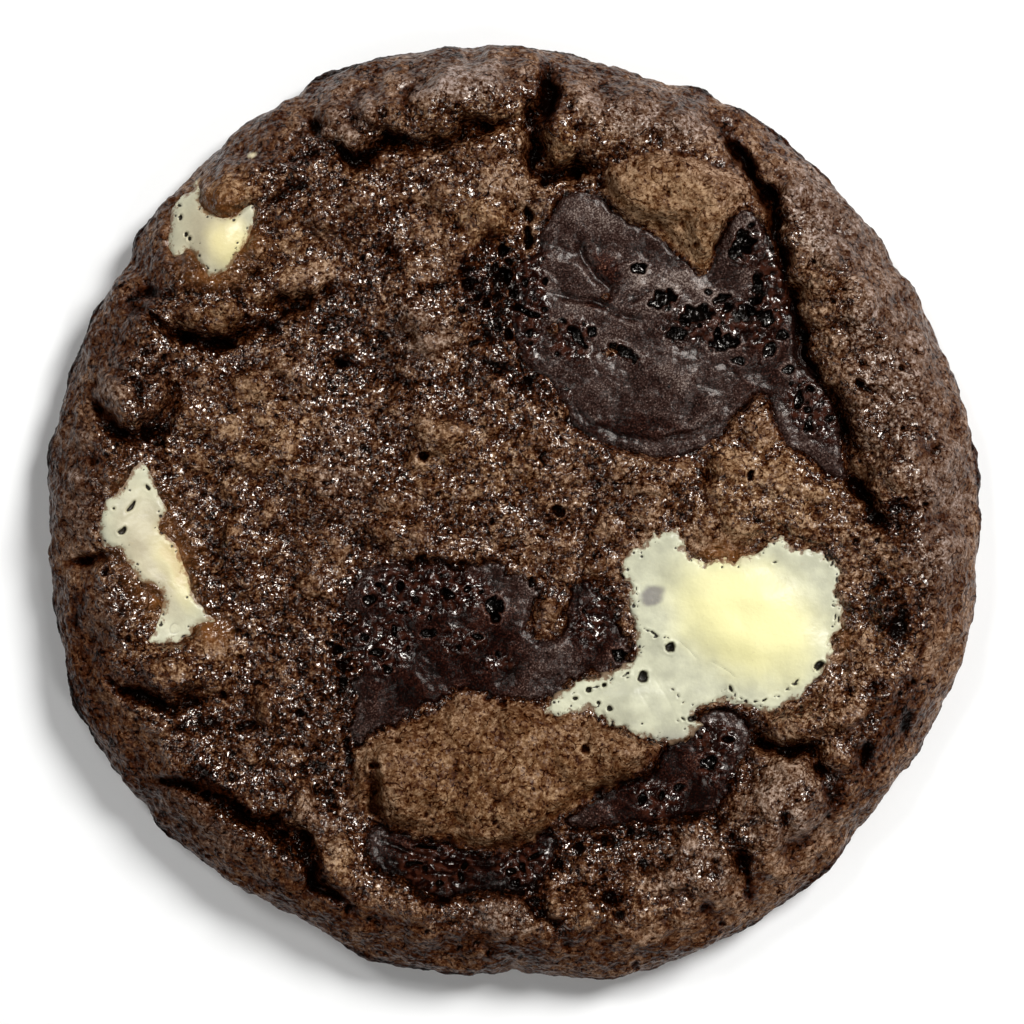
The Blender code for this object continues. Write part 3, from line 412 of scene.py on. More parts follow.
# The pieces of chocolate: material, rise above the dough's level, how ragged the edge is, pits for each
# square millimetre of the bubbly ovals, swells, bubbly ovals by strength, islands of dough, single pits,
# grooves (half width, depth, line), rows of slits (slits for each millimetre, line) and the outline
CHUNKS = {
    "dark_chunk_large": {
        "slot": "dark_chocolate", "rise": -0.5, "ragged": 0.16, "pitted": 0.75,
        "swells": ovals({0.4: ((23.5, 20, 3.6, 7, -10),), 0.5: ((13.7, 14.9, 9.7, 9.7),)}),
        "bubbly": ovals({
            0.6: ((4.6, 10.4, 1.4, 2.2),), 0.7: ((10.6, 15.2, 2.6, 1.4, -20),),
            0.8: ((28.6, 9.6, 2.4, 4.6, 30), (5.8, 16.6, 2.6, 2.8), (22.2, 25.4, 2, 2.6),
                  (14.6, 20.2, 1.8, 1.5)),
            1: ((19.5, 18.2, 6.5, 2.6, 8), (24.5, 20.5, 2.6, 6.5, -8), (1.6, 20, 2.2, 6.5))}),
        "islands": ((9.2, 15.3, 1, 0.5, -25), (4, 17, 0.5, 0.6), (9, 20.2, 0.45, 0.4)), "pits": DARK_PITS,
        "grooves": (
            (0.45, 0.25, ((5.6, 10.4), (7.2, 8.8), (9.8, 7.4), (13.8, 6.8), (17.6, 7.6), (20.6, 9.9))),
            (0.3, 0.25, ((9.4, 23.7), (10.2, 23.9), (11, 24.3))),
            (0.5, 0.55, ((6.3, 26.2), (7, 24), (8, 22.6), (9.2, 21.4), (9.8, 21.2))),
            (0.8, 0.35, ((3.6, 26), (5.5, 24.8), (8.6, 23.2))),
            (0.4, 0.35, ((3.8, 20.9), (7.8, 20.2), (10, 19), (12.6, 18.4))),
            (0.6, 0.3, ((11, 20.2), (13.2, 21.2), (16.8, 21)))),
        "outline": (
            (4.8, 30.2), (6, 30.5), (8.3, 30.3), (9.8, 28.8), (11.8, 27.4), (13.9, 26.5), (15.2, 25),
            (17, 23.6), (17.9, 22.5), (19, 23.4), (19.9, 26), (21.3, 28.2), (22.5, 28.8), (24, 27),
            (25.4, 23.2), (26.3, 20), (27.1, 16.3), (27.2, 14.5), (29.8, 11.5), (31.2, 8), (31.6, 4.8),
            (32.2, 3.2), (30.2, 3.7), (28.6, 5.1), (26.4, 6.4), (25.1, 9), (24.7, 10.9), (23.3, 11.3),
            (21.2, 9.2), (19.4, 7), (16.5, 5.4), (14, 5.2), (11.4, 5.8), (8.9, 6.6), (6.3, 7.9), (5, 10.3),
            (3.4, 12.7), (1.3, 14.2), (0.2, 17.5), (0, 19), (0.8, 20.3), (0.4, 23.3), (2.5, 25), (2.7, 26.5),
            (3.5, 27.8)),
    },
    "dark_chunk_middle": {
        "slot": "dark_chocolate", "rise": -0.6, "ragged": 0.55, "pitted": 0.3,
        "swells": ovals({0.4: ((-9, -9.6, 5.4, 3.4), (4, -14, 5, 2.6, 15))}),
        "bubbly": ovals({0.6: ((-1, -14.4, 2, 1.2),), 0.7: ((-5, -12.4, 3, 1.8),),
                         1: ((-8.5, -7.6, 7.5, 3.2), (-12.5, -12.8, 3.6, 3.4), (7.5, -10.5, 2.4, 3))}),
        "islands": ((2.9, -10.2, 1.3, 2), (-15.9, -10.4, 1.5, 1, 20), (-15.6, -14.8, 1.1, 1.5, -20),
                    (-16, -18.4, 1.3, 1.1), (-15.4, -6.4, 1.4, 0.9, 40)),
        "pits": MIDDLE_PITS,
        "outline": (
            (-15.5, -8), (-14.5, -5.8), (-12, -5.2), (-9, -4.9), (-6, -5), (-3.5, -5.2), (-1.5, -4.8),
            (-0.5, -5.8), (1, -6.2), (2.3, -6.6), (2.2, -7.8), (1.8, -8.6), (2, -11.3), (2.6, -12.3),
            (4, -12.2), (5.2, -11), (5.3, -9.2), (6.5, -7), (7.5, -6.8), (8.8, -8.4), (10.2, -10),
            (11, -11.8), (11.5, -13.4), (10.8, -14.6), (9, -15.3), (7.3, -15.6), (5.2, -16.8), (4.2, -17.8),
            (1.8, -18.3), (-1.8, -17.8), (-5, -16.9), (-6.4, -17.9), (-8.5, -18.6), (-11.5, -20.1),
            (-14, -21.8), (-15.2, -21.9), (-15.6, -20), (-15.3, -17), (-15.7, -12)),
    },
    "dark_streak_lower": {
        "slot": "dark_chocolate", "rise": -0.9, "ragged": 0.3, "pitted": 0.3,
        "bubbly": ovals({0.8: ((1, -33.6, 4, 2.4),), 0.9: ((-7, -34, 5, 3),)}),
        "pits": ovals({0.6: ((-9.5, -33.7, 0.8, 0.25), (0, -34.5, 0.6, 0.4), (2.2, -32.9, 0.7, 0.3, 30)),
                       0.8: ((-8.3, -32.2, 1.5, 0.24, -8),)}),
        "grooves": (
            (0.3, 0.4, ((-12.6, -31.4), (-9, -33), (-5, -33.8), (-1, -33.9))),
            (0.25, 0.35, ((-11.5, -33.4), (-8, -34.6), (-3, -35.2))),
            (0.25, 0.3, ((-5.5, -32.6), (-1.5, -33.4), (2.8, -31.8)))),
        "outline": ((-13.2, -30.2), (-10.5, -31), (-6, -32), (-2.5, -32.9), (0.8, -32.2), (3.4, -30.9),
                    (3.9, -33), (2, -36), (-3, -36.1), (-6, -37), (-9, -35.8), (-13, -33.5)),
    },
    "dark_streak_right": {
        "slot": "dark_chocolate", "rise": -0.8, "ragged": 0.3, "pitted": 0.5,
        "bubbly": ovals({
            0.6: ((18.8, -24.6, 2, 2),), 0.8: ((14, -27.6, 3, 2.4),), 0.9: ((19.6, -21.6, 2.6, 2.2),)}),
        "pits": ovals({
            0.6: ((12.6, -27.4, 0.5, 0.4),), 0.7: ((16, -26.5, 0.6, 0.4),), 1: ((18.8, -24, 0.9, 0.7),)}),
        "outline": (
            (5.4, -29.5), (8, -27.7), (11, -26), (13.5, -24.8), (15, -22.5), (17, -21.8), (18, -19.6),
            (20.5, -18.9), (22.5, -20.5), (22.8, -22.5), (21, -25), (20, -27.5), (18, -29), (14, -29.5),
            (10, -30), (6.5, -30.5)),
    },
    "white_chunk_right": {
        "slot": "white_chocolate", "rise": -0.1, "ragged": 0.36,
        "swells": ovals({0.3: ((12, -18, 5, 2.4, 10),), 0.9: ((23.3, -10.3, 8.6, 6, -35),)}),
        "pits": WHITE_PITS,
        "grooves": (
            (0.07, 0.06, ((15.8, -12.1), (16.9, -13.1), (17.7, -14.2))),
            (0.07, 0.06, ((19, -14.4), (20.7, -15.2), (21.4, -15.8))),
            (0.06, 0.04, ((13.6, -15.9), (14.6, -17.6), (15.8, -19.6))),
            (0.06, 0.04, ((12, -17), (13.2, -18.8), (13.6, -19.6)))),
        "rows": (
            (1.6, ((11.5, -2.7), (10.4, -4.3), (10.5, -6.6), (10.8, -7.2))),
            (1.5, ((13.2, -1.8), (14.4, -2.1))),
            (2, ((11.8, -7.2), (12, -10.4), (12.8, -11.2), (14.2, -12), (15.3, -12.6))),
            (2, ((20, -17.2), (21.1, -16.9), (21.2, -18), (23.8, -18.2), (25.7, -17.4), (27.6, -16.3))),
            (1.8, ((31.3, -6.9), (30.6, -9.1), (31.2, -10.1), (30.5, -11.6), (30.2, -12.9))),
            (1.2, ((24.6, -4.3), (25.5, -4.8))),
            (1.4, ((27.3, -2.9), (29.2, -3.9), (30.8, -4.9), (31.3, -6.9))),
            (1.6, ((15.3, -17.1), (16.1, -17.7), (16.9, -19))),
            (1.6, ((15.2, -19.2), (16.3, -20), (16.9, -20.1))), (1, ((10.7, -20.6), (14.5, -21.9))),
            (1.6, ((6, -17.4), (9, -16.4), (11.2, -15.6)))),
        "outline": (
            (15, -1.9), (16, -2.2), (17.5, -4.3), (20.6, -4.7), (23, -4.2), (25.1, -2.7), (26.1, -2.3),
            (26.7, -3.3), (28.1, -3.8), (30.4, -4.3), (31.4, -5.7), (31, -7.6), (31.8, -9.5), (30.8, -12.1),
            (30, -14.4), (28.4, -16.3), (27.5, -17.7), (24.7, -19), (21.6, -18.5), (19.5, -18.2),
            (17.3, -19.1), (17.9, -20.3), (16.5, -21.5), (13.7, -21.9), (10.7, -20.8), (8.6, -19.8),
            (6.6, -18.9), (5.7, -19.4), (3.1, -19.1), (5.1, -17.1), (7.6, -15.7), (8.9, -15.8),
            (11.2, -14.7), (11.9, -13.6), (11.9, -12.5), (11.3, -9.5), (11.1, -7.3), (10.4, -5.2),
            (12.3, -2.9)),
    },
    "white_chunk_upper_left": {
        "slot": "white_chocolate", "rise": -0.1, "ragged": 0.16,
        "swells": ovals({0.4: ((-28, 25.8, 3, 3.4),)}), "islands": ((-31.3, 31, 0.7, 0.5),),
        "pits": ovals({0.5: ((-31.9, 29.4, 0.25, 0.2), (-31.7, 28.1, 0.25, 0.3), (-31.1, 26.5, 0.2, 0.25),
                             (-30.8, 26.1, 0.2, 0.2))}),
        "outline": (
            (-30.4, 32.3), (-30, 31.2), (-29.8, 29.7), (-29, 28.6), (-27.6, 28.1), (-26.3, 28.5),
            (-24.7, 29.2), (-24.9, 26.4), (-26.4, 24.2), (-27.4, 22.9), (-28.9, 22.3), (-29.6, 23.3),
            (-30.8, 25.1), (-32.3, 24.3), (-32.9, 25.4), (-32.8, 27.5), (-32.3, 30.3)),
    },
    "white_chunk_lower_left": {
        "slot": "white_chocolate", "rise": -0.1, "ragged": 0.16,
        "swells": ovals({0.4: ((-33.5, -6, 2.4, 6, 28),)}),
        "pits": ovals({0.5: ((-34.8, 2.4, 0.2, 0.4, 30), (-37.9, 0.4, 0.2, 0.2)),
                       0.6: ((-36.3, 0.7, 0.9, 0.2, 60), (-37.1, -1.9, 0.45, 0.3, 40))}),
        "grooves": (
            (0.1, 0.05,
             ((-31.8, -11.1), (-32, -10.7), (-32.4, -10.6), (-32.7, -10.8), (-32.8, -11.1), (-32.7, -11.5),
              (-32.3, -11.6), (-32, -11.5), (-31.8, -11.2))),),
        "outline": (
            (-36.1, 4.3), (-35.1, 4.5), (-33.7, 1.6), (-33, 0.2), (-33.7, -1.6), (-31.9, -3.4), (-30.8, -7),
            (-30, -8.6), (-28.9, -9.9), (-28.4, -10.6), (-30, -10.9), (-31.2, -12.1), (-34.6, -12.6),
            (-33.7, -10.5), (-33.3, -8.6), (-33.7, -7.2), (-35.6, -6.4), (-37.2, -3.6), (-39.2, -3.1),
            (-38.8, 0.8), (-37.5, 1.9)),
    },
}
WHITE_ON_TOP = "white_chunk_right"

# Greyish bloom and painted sheen on the dark chocolate, by strength: grey patches that partly stand in for
# broad reflections on its folds
BLOOM_AND_SHEEN = ovals({
    0.3: ((19.6, 9.8, 2, 1.4), (-8, -12, 3, 2)),
    0.4: ((11.6, 18.4, 2.4, 2), (16, 12.4, 3, 2)),
    0.5: ((27.4, 7, 2.4, 1.6, -30), (-6, -16.6, 4, 1.4), (17, -24, 2.6, 1.8, 30)),
    0.6: ((2.6, 21, 2.2, 1.8), (9, 28, 2, 1.4)),
    0.7: ((12, 22, 2.4, 1.6), (6.2, 19.6, 2.2, 1.6), (1.6, 17, 1.5, 3), (21.8, 27.4, 1.8, 1.5),
          (28.8, 10.6, 1.1, 1.8)),
    0.8: ((9.4, -28.2, 2.6, 1.1, 20),),
    0.9: ((9, 24.2, 2.4, 1.8, 30),),
    1: ((8, 28, 3.6, 2.2, -35), (16.6, 22, 4.2, 1.6, -15)),
})

# Creamy yellow middle of the white chocolate, by strength
CREAM = ovals({
    0.6: ((-32, -5.5, 2, 6, 25),),
    0.8: ((-27, 25.6, 3.2, 3.2),),
    1: ((22.4, -10.2, 10.6, 7.4, -33),),
})

# Darker parts of the chocolate, by strength: painted shade where the lower streak lies in its crevice and in
# a grey dent of the white chocolate, and darker chocolate elsewhere
SHADED = ovals({
    0.4: ((24.5, 18, 3.5, 12, -8),),
    0.5: ((11, 8, 7, 1.5),),
    0.7: ((1, 22, 3, 9), (8.6, 19.8, 1.5, 1)),
    0.8: ((-7, -13, 11, 10), (15, -26, 10, 6, 20), (8, -10, 4, 6), (9, 23.2, 1.6, 2.4, 30)),
    1: ((13.4, -8, 1.5, 1.2, 20),),
    1.5: ((-4, -34, 12, 5),),
})

# Masks that the materials read: the ovals of each, and how soft their edges are
ZONES = {
    "amber": (STAINS, 0.8), "pale": (SPECKS, 0.3), "golden": (GOLDEN, 0.6), "rosy": (ROSY, 0.6),
    "cream": (CREAM, 0.7), "shade": (SHADED, 0.5), "bloom_and_sheen": (BLOOM_AND_SHEEN, 0.8),
}
DOUGH_MASKS = ("tan", "dry", "smear", "cavity_shade", "pore", "amber", "pale", "golden", "rosy", "lightness",
               "side", "sheen")
CHUNK_MASKS = ("cream", "amber", "shade", "bloom_and_sheen")

# Lights, at one distance in metres: azimuth, elevation, size, power. Azimuth 0 is +X and 90 is +Y
LIGHT_DISTANCE = 0.9
LIGHTS = {
    "key": (42, 50, 0.32, 8.4), "left": (132, 56, 0.2, 1.6), "right": (312, 56, 0.2, 1.2),
    "fill": (216, 36, 0.5, 1.1),
}
SURROUND = 0.05

# Camera and floor, in metres
CAMERA_HEIGHT = 0.4
CAMERA_SENSOR_MM = 36.0
CAMERA_LENS_MM = 144.0
FLOOR_SIZE = 6.0
FLOOR_DROP = 0.0002


def smooth(t):
    """An S-shaped ramp from 0 to 1."""
    t = np.clip(t, 0.0, 1.0)
    return t * t * (3.0 - 2.0 * t)


def through(p0, p1, p2, p3, t):
    """A point on the smooth curve that passes p1 at t = 0 and p2 at t = 1."""
    return 0.5 * (2 * p1 + (p2 - p0) * t + (2 * p0 - 5 * p1 + 4 * p2 - p3) * t ** 2
                  + (3 * p1 - p0 - 3 * p2 + p3) * t ** 3)


def outline_radius(angle):
    """Radius of the dough's outline at an angle in radians."""
    radii = np.array(EDGE_RADII)
    count = len(radii)
    place = (angle % (2 * math.pi)) / (2 * math.pi) * count
    i = np.floor(place).astype(int)
    return through(radii[(i - 1) % count], radii[i % count], radii[(i + 1) % count],
                   radii[(i + 2) % count], place - i)


def side_relief(angle, z):
    """How far the side stands out or in at an angle and a height: bulges and notches."""
    out = np.zeros_like(angle)
    for turns, height, start, lean in SIDE_WAVES:
        out = out + height * np.sin(turns * angle + start + lean * z)
    for degrees, depth, half_angle in NOTCHES:
        away = np.degrees(np.abs((angle - math.radians(degrees) + math.pi) % (2 * math.pi) - math.pi))
        out = out - depth * smooth(1.0 - away / half_angle)
    return out * smooth(z / BELLY_HEIGHT)


def oval(x, y, cx, cy, half_length, half_width, turn=0):
    """Distance from an oval's middle, 1 at its edge."""
    c, s = math.cos(math.radians(turn)), math.sin(math.radians(turn))
    along = ((x - cx) * c + (y - cy) * s) / half_length
    across = ((y - cy) * c - (x - cx) * s) / half_width
    return np.hypot(along, across)


def around(points, margin):
    """The part of the relief grid round some points."""
    corners = np.array(points)
    return window(corners.min(axis=0) - margin, corners.max(axis=0) + margin)


def near(x, place):
    """The part of the whole grid where an oval can lie, or all of any other places."""
    if x.shape != X.shape:
        return np.s_[:]
    return around([place[:2]], max(place[2:4]) + 1.5)


def swell_height(x, y, swells):
    """Puffed mounds and hollows, level in the middle and round at the shoulder, that merge."""
    mounds, hollows = np.zeros_like(x), np.zeros_like(x)
    for *place, rise in swells:
        at = near(x, place)
        shape = rise * smooth((1.0 - oval(x[at], y[at], *place)) / SWELL_SHOULDER)
        mounds[at] = np.maximum(mounds[at], shape)
        hollows[at] = np.minimum(hollows[at], shape)
    return mounds + hollows


def zones(x, y, rows, edge):
    """A soft mask from 0 to 1 over some ovals, each with its strength."""
    mask = np.zeros_like(x)
    for *place, strength in rows:
        at = near(x, place)
        mask[at] = np.maximum(mask[at], strength * smooth((1.0 - oval(x[at], y[at], *place)) / edge))
    return mask


def share_out(x, y):
    """Distance from the middle as a share of the outline's radius in that direction."""
    return np.hypot(x, y) / outline_radius(np.arctan2(y, x))


def level(x, y):
    """The dough's height without swells and clefts: a low middle inside a raised rim."""
    rim = np.exp(-(((share_out(x, y) - RIM_AT) / RIM_WIDTH) ** 2))
    return MIDDLE_HEIGHT + RIM_RISE * rim


def fall(x, y):
    """How far the top has dropped towards the belly at the round edge, from 1 to 0."""
    t = np.clip((share_out(x, y) - SHOULDER_AT) / (1 - SHOULDER_AT), 0.0, 1.0)
    return np.sqrt(1.0 - t * t)


def hashed(ix, iy, seed):
    """A repeatable random number from 0 to 1 for each cell of a grid; the large factors scramble its bits."""
    h = (ix * 374761393 + iy * 668265263 + seed * 974634777) & 0xFFFFFFFF
    h = ((h ^ (h >> 13)) * 1274126177) & 0xFFFFFFFF
    h = ((h ^ (h >> 16)) * 668265263) & 0xFFFFFFFF
    return ((h ^ (h >> 15)) & 0xFFFFFF) / float(0x1000000)


def ripple(x, y, size, seed):
    """Smooth random waves of about the given size, from about -1 to 1."""
    gx, gy = x / size, y / size
    ix, iy = np.floor(gx).astype(np.int64), np.floor(gy).astype(np.int64)
    fx, fy = gx - ix, gy - iy
    wx, wy = (f * f * f * (f * (f * 6 - 15) + 10) for f in (fx, fy))

    def corner(dx, dy):
        angle = 2 * math.pi * hashed(ix + dx, iy + dy, seed)
        return np.cos(angle) * (fx - dx) + np.sin(angle) * (fy - dy)

    low = corner(0, 0) * (1 - wx) + corner(1, 0) * wx
    high = corner(0, 1) * (1 - wx) + corner(1, 1) * wx
    return 1.5 * (low * (1 - wy) + high * wy)


def ripples(x, y, *layers):
    """The sum of some ripples: amount, size and seed of each."""
    return sum(amount * ripple(x, y, size, seed) for amount, size, seed in layers)


def pebbles(x, y, size, seed):
    """Round grains that meet in creases, from 0 in the creases to 1 on the grains."""
    gx, gy = x / size, y / size
    ix, iy = np.floor(gx).astype(np.int64), np.floor(gy).astype(np.int64)
    nearest = np.full_like(gx, 9.0)
    for dx in (-1, 0, 1):
        for dy in (-1, 0, 1):
            px = ix + dx + hashed(ix + dx, iy + dy, seed)
            py = iy + dy + hashed(ix + dx, iy + dy, seed + 1)
            nearest = np.minimum(nearest, (gx - px) ** 2 + (gy - py) ** 2)
    return np.clip(1.0 - nearest, 0.0, 1.0)


def path_distance(x, y, points):
    """Distance to a bent line, and how far along it the nearest point lies, from 0 to 1."""
    best = np.full_like(x, 1e9)
    share = np.zeros_like(x)
    last = len(points) - 1
    for k in range(last):
        ax, ay = points[k]
        bx, by = points[k + 1]
        length2 = (bx - ax) ** 2 + (by - ay) ** 2
        t = np.clip(((x - ax) * (bx - ax) + (y - ay) * (by - ay)) / length2, 0.0, 1.0)
        away = np.hypot(x - ax - t * (bx - ax), y - ay - t * (by - ay))
        nearer = away < best
        best = np.where(nearer, away, best)
        share = np.where(nearer, (k + t) / last, share)
    return best, share


def window(low, high):
    """The part of the relief grid between two corners, as a pair of slices."""
    first = np.clip(((np.array(low) + REACH) / STEP).astype(int), 0, len(AXIS) - 1)
    last = np.clip(((np.array(high) + REACH) / STEP).astype(int) + 2, 1, len(AXIS))
    return slice(first[1], last[1]), slice(first[0], last[0])


def blurred(field, reach):
    """The field averaged over a soft disc of about the given reach."""
    frequency = np.fft.fftfreq(field.shape[0], STEP)
    half = np.fft.rfftfreq(field.shape[1], STEP)
    keep = np.exp(-2 * (math.pi * reach) ** 2 * (frequency[:, None] ** 2 + half[None, :] ** 2))
    return np.fft.irfft2(np.fft.rfft2(field) * keep, s=field.shape)


def sample(field, x, y):
    """The field's value at any places, between its grid points."""
    gx = np.clip((x + REACH) / STEP, 0, len(AXIS) - 1.001)
    gy = np.clip((y + REACH) / STEP, 0, len(AXIS) - 1.001)
    ix, iy = gx.astype(int), gy.astype(int)
    fx, fy = gx - ix, gy - iy
    low = field[iy, ix] * (1 - fx) + field[iy, ix + 1] * fx
    high = field[iy + 1, ix] * (1 - fx) + field[iy + 1, ix + 1] * fx
    return low * (1 - fy) + high * fy


def waves():
    """Soft random unevenness of the whole top, as in the solids."""
    stride = 4
    rows = AXIS[::stride]
    table = np.array([[noise.fractal(Vector((x / WAVE_SIZE, y / WAVE_SIZE, 0.7)), 0.6, 2.1, 3) for x in rows]
                      for y in rows])
    places = np.clip((AXIS + REACH) / (STEP * stride), 0, len(rows) - 1.001)
    i = places.astype(int)
    f = places - i
    across = table[:, i] * (1 - f) + table[:, i + 1] * f
    return WAVE_HEIGHT * (across[i] * (1 - f[:, None]) + across[i + 1] * f[:, None])


def press_pits(field, mask, pits, x=X, y=Y):
    """Pits with steep walls and a raised lip, pressed into a field; in the mask lips are negative."""
    for cx, cy, half_length, half_width, turn, depth in pits:
        at = around([(cx, cy)], 2.3 * max(half_length, half_width))
        away = oval(x[at], y[at], cx, cy, half_length, half_width, turn)
        away = away + 0.45 * ripple(X[at], Y[at], 0.75, 91) + 0.2 * ripple(X[at], Y[at], 0.35, 93)
        hole = smooth((1.12 - away) / 0.45)
        lip = min(1.0, depth) * np.exp(-(((away - 1.28) * min(half_length, half_width) / 0.14) ** 2))
        field[at] += 0.12 * lip - depth * hole
        open_here = (mask[at] > 0.05) | (hole > 0.05)
        mask[at] = np.where(open_here, np.maximum(mask[at], hole), np.minimum(mask[at], -lip))


def cut_grooves(field, mask, grooves, x, y):
    """Narrow cracks along bent lines, cut into a field and marked in a mask."""
    for half_width, depth, points in grooves:
        at = around(points, 4 * half_width + 1.2)
        away, share = path_distance(x[at], y[at], points)
        ends = smooth(share / 0.15) * smooth((1.0 - share) / 0.15)
        groove = (0.35 + 0.65 * ends) * np.exp(-((away / half_width) ** 2))
        field[at] -= depth * groove
        mask[at] = np.maximum(mask[at], groove * min(1.0, 8.0 * depth))


def cut_clefts(height, mask, x, y):
    """Deep cracks with a narrow bottom, ragged walls and one side that sinks towards them."""
    for half_width, depth, points in CLEFTS:
        at = around(points, 4 * half_width + 2.5)
        away, share = path_distance(x[at], y[at], points)
        ends = smooth(share / 0.2) * smooth((1.0 - share) / 0.2)
        width = np.maximum(half_width * (0.45 + 0.35 * ends + 0.5 * ripple(X[at], Y[at], 2.2, 81)), 0.12)
        groove = (0.4 + 0.6 * ends) * np.clip(1.0 - away / (1.6 * width), 0.0, 1.0) ** 0.8
        sunk = 0.35 * depth * ends * smooth(1.0 - away / (3.2 * half_width))
        height[at] -= 0.62 * depth * groove + sunk * 0.5
        mask[at] = np.maximum(mask[at], groove)


def outline_distance(loop, x, y):
    """Distance to a closed outline, positive inside it."""
    best = np.full_like(x, 1e9)
    inside = np.zeros(x.shape, dtype=bool)
    for (ax, ay), (bx, by) in zip(loop, np.roll(loop, -1, axis=0)):
        length2 = (bx - ax) ** 2 + (by - ay) ** 2
        t = np.clip(((x - ax) * (bx - ax) + (y - ay) * (by - ay)) / length2, 0.0, 1.0)
        best = np.minimum(best, (x - ax - t * (bx - ax)) ** 2 + (y - ay - t * (by - ay)) ** 2)
        if ay != by:
            crosses = ((ay > y) != (by > y)) & (x < (bx - ax) * (y - ay) / (by - ay) + ax)
            inside ^= crosses
    return np.where(inside, 1.0, -1.0) * np.sqrt(best)


def smooth_loop(points, steps=4):
    """A closed smooth curve through the points."""
    corners = np.array(points, dtype=float)
    count = len(corners)
    loop = []
    for i in range(count):
        near_ones = [corners[(i + k) % count] for k in (-1, 0, 1, 2)]
        for k in range(steps):
            loop.append(through(*near_ones, k / steps))
    return np.array(loop)


def scattered_pits(count, seed, weight, size):
    """Seeded random pits, placed where the weight is high: their list for press_pits."""
    draw = np.random.default_rng(seed)
    pits = []
    while len(pits) < count:
        x, y = draw.uniform(-PORES_REACH, PORES_REACH, 2)
        i, j = int((y + REACH) / STEP), int((x + REACH) / STEP)
        if draw.random() < weight[i, j]:
            radius = size * (0.5 + draw.random() ** 2)
            pits.append((x, y, radius, radius * draw.uniform(0.6, 1.0), draw.uniform(0, 180), radius * 1.3))
    return pits


def rows_of_pits(rows, seed):
    """Seeded small slits along bent lines: each line has a number of slits for each millimetre."""
    draw = np.random.default_rng(seed)
    pits = []
    for density, points in rows:
        for (ax, ay), (bx, by) in zip(points, points[1:]):
            length = math.hypot(bx - ax, by - ay)
            turn = math.degrees(math.atan2(by - ay, bx - ax))
            for _ in range(max(1, round(length * density))):
                t = draw.random()
                x, y = ax + t * (bx - ax) + draw.normal(0, 0.12), ay + t * (by - ay) + draw.normal(0, 0.12)
                size = 0.09 + 0.16 * draw.random() ** 2
                pits.append((x, y, size * 1.7, size * 0.6, turn + draw.normal(0, 30), size * 2))
    return pits


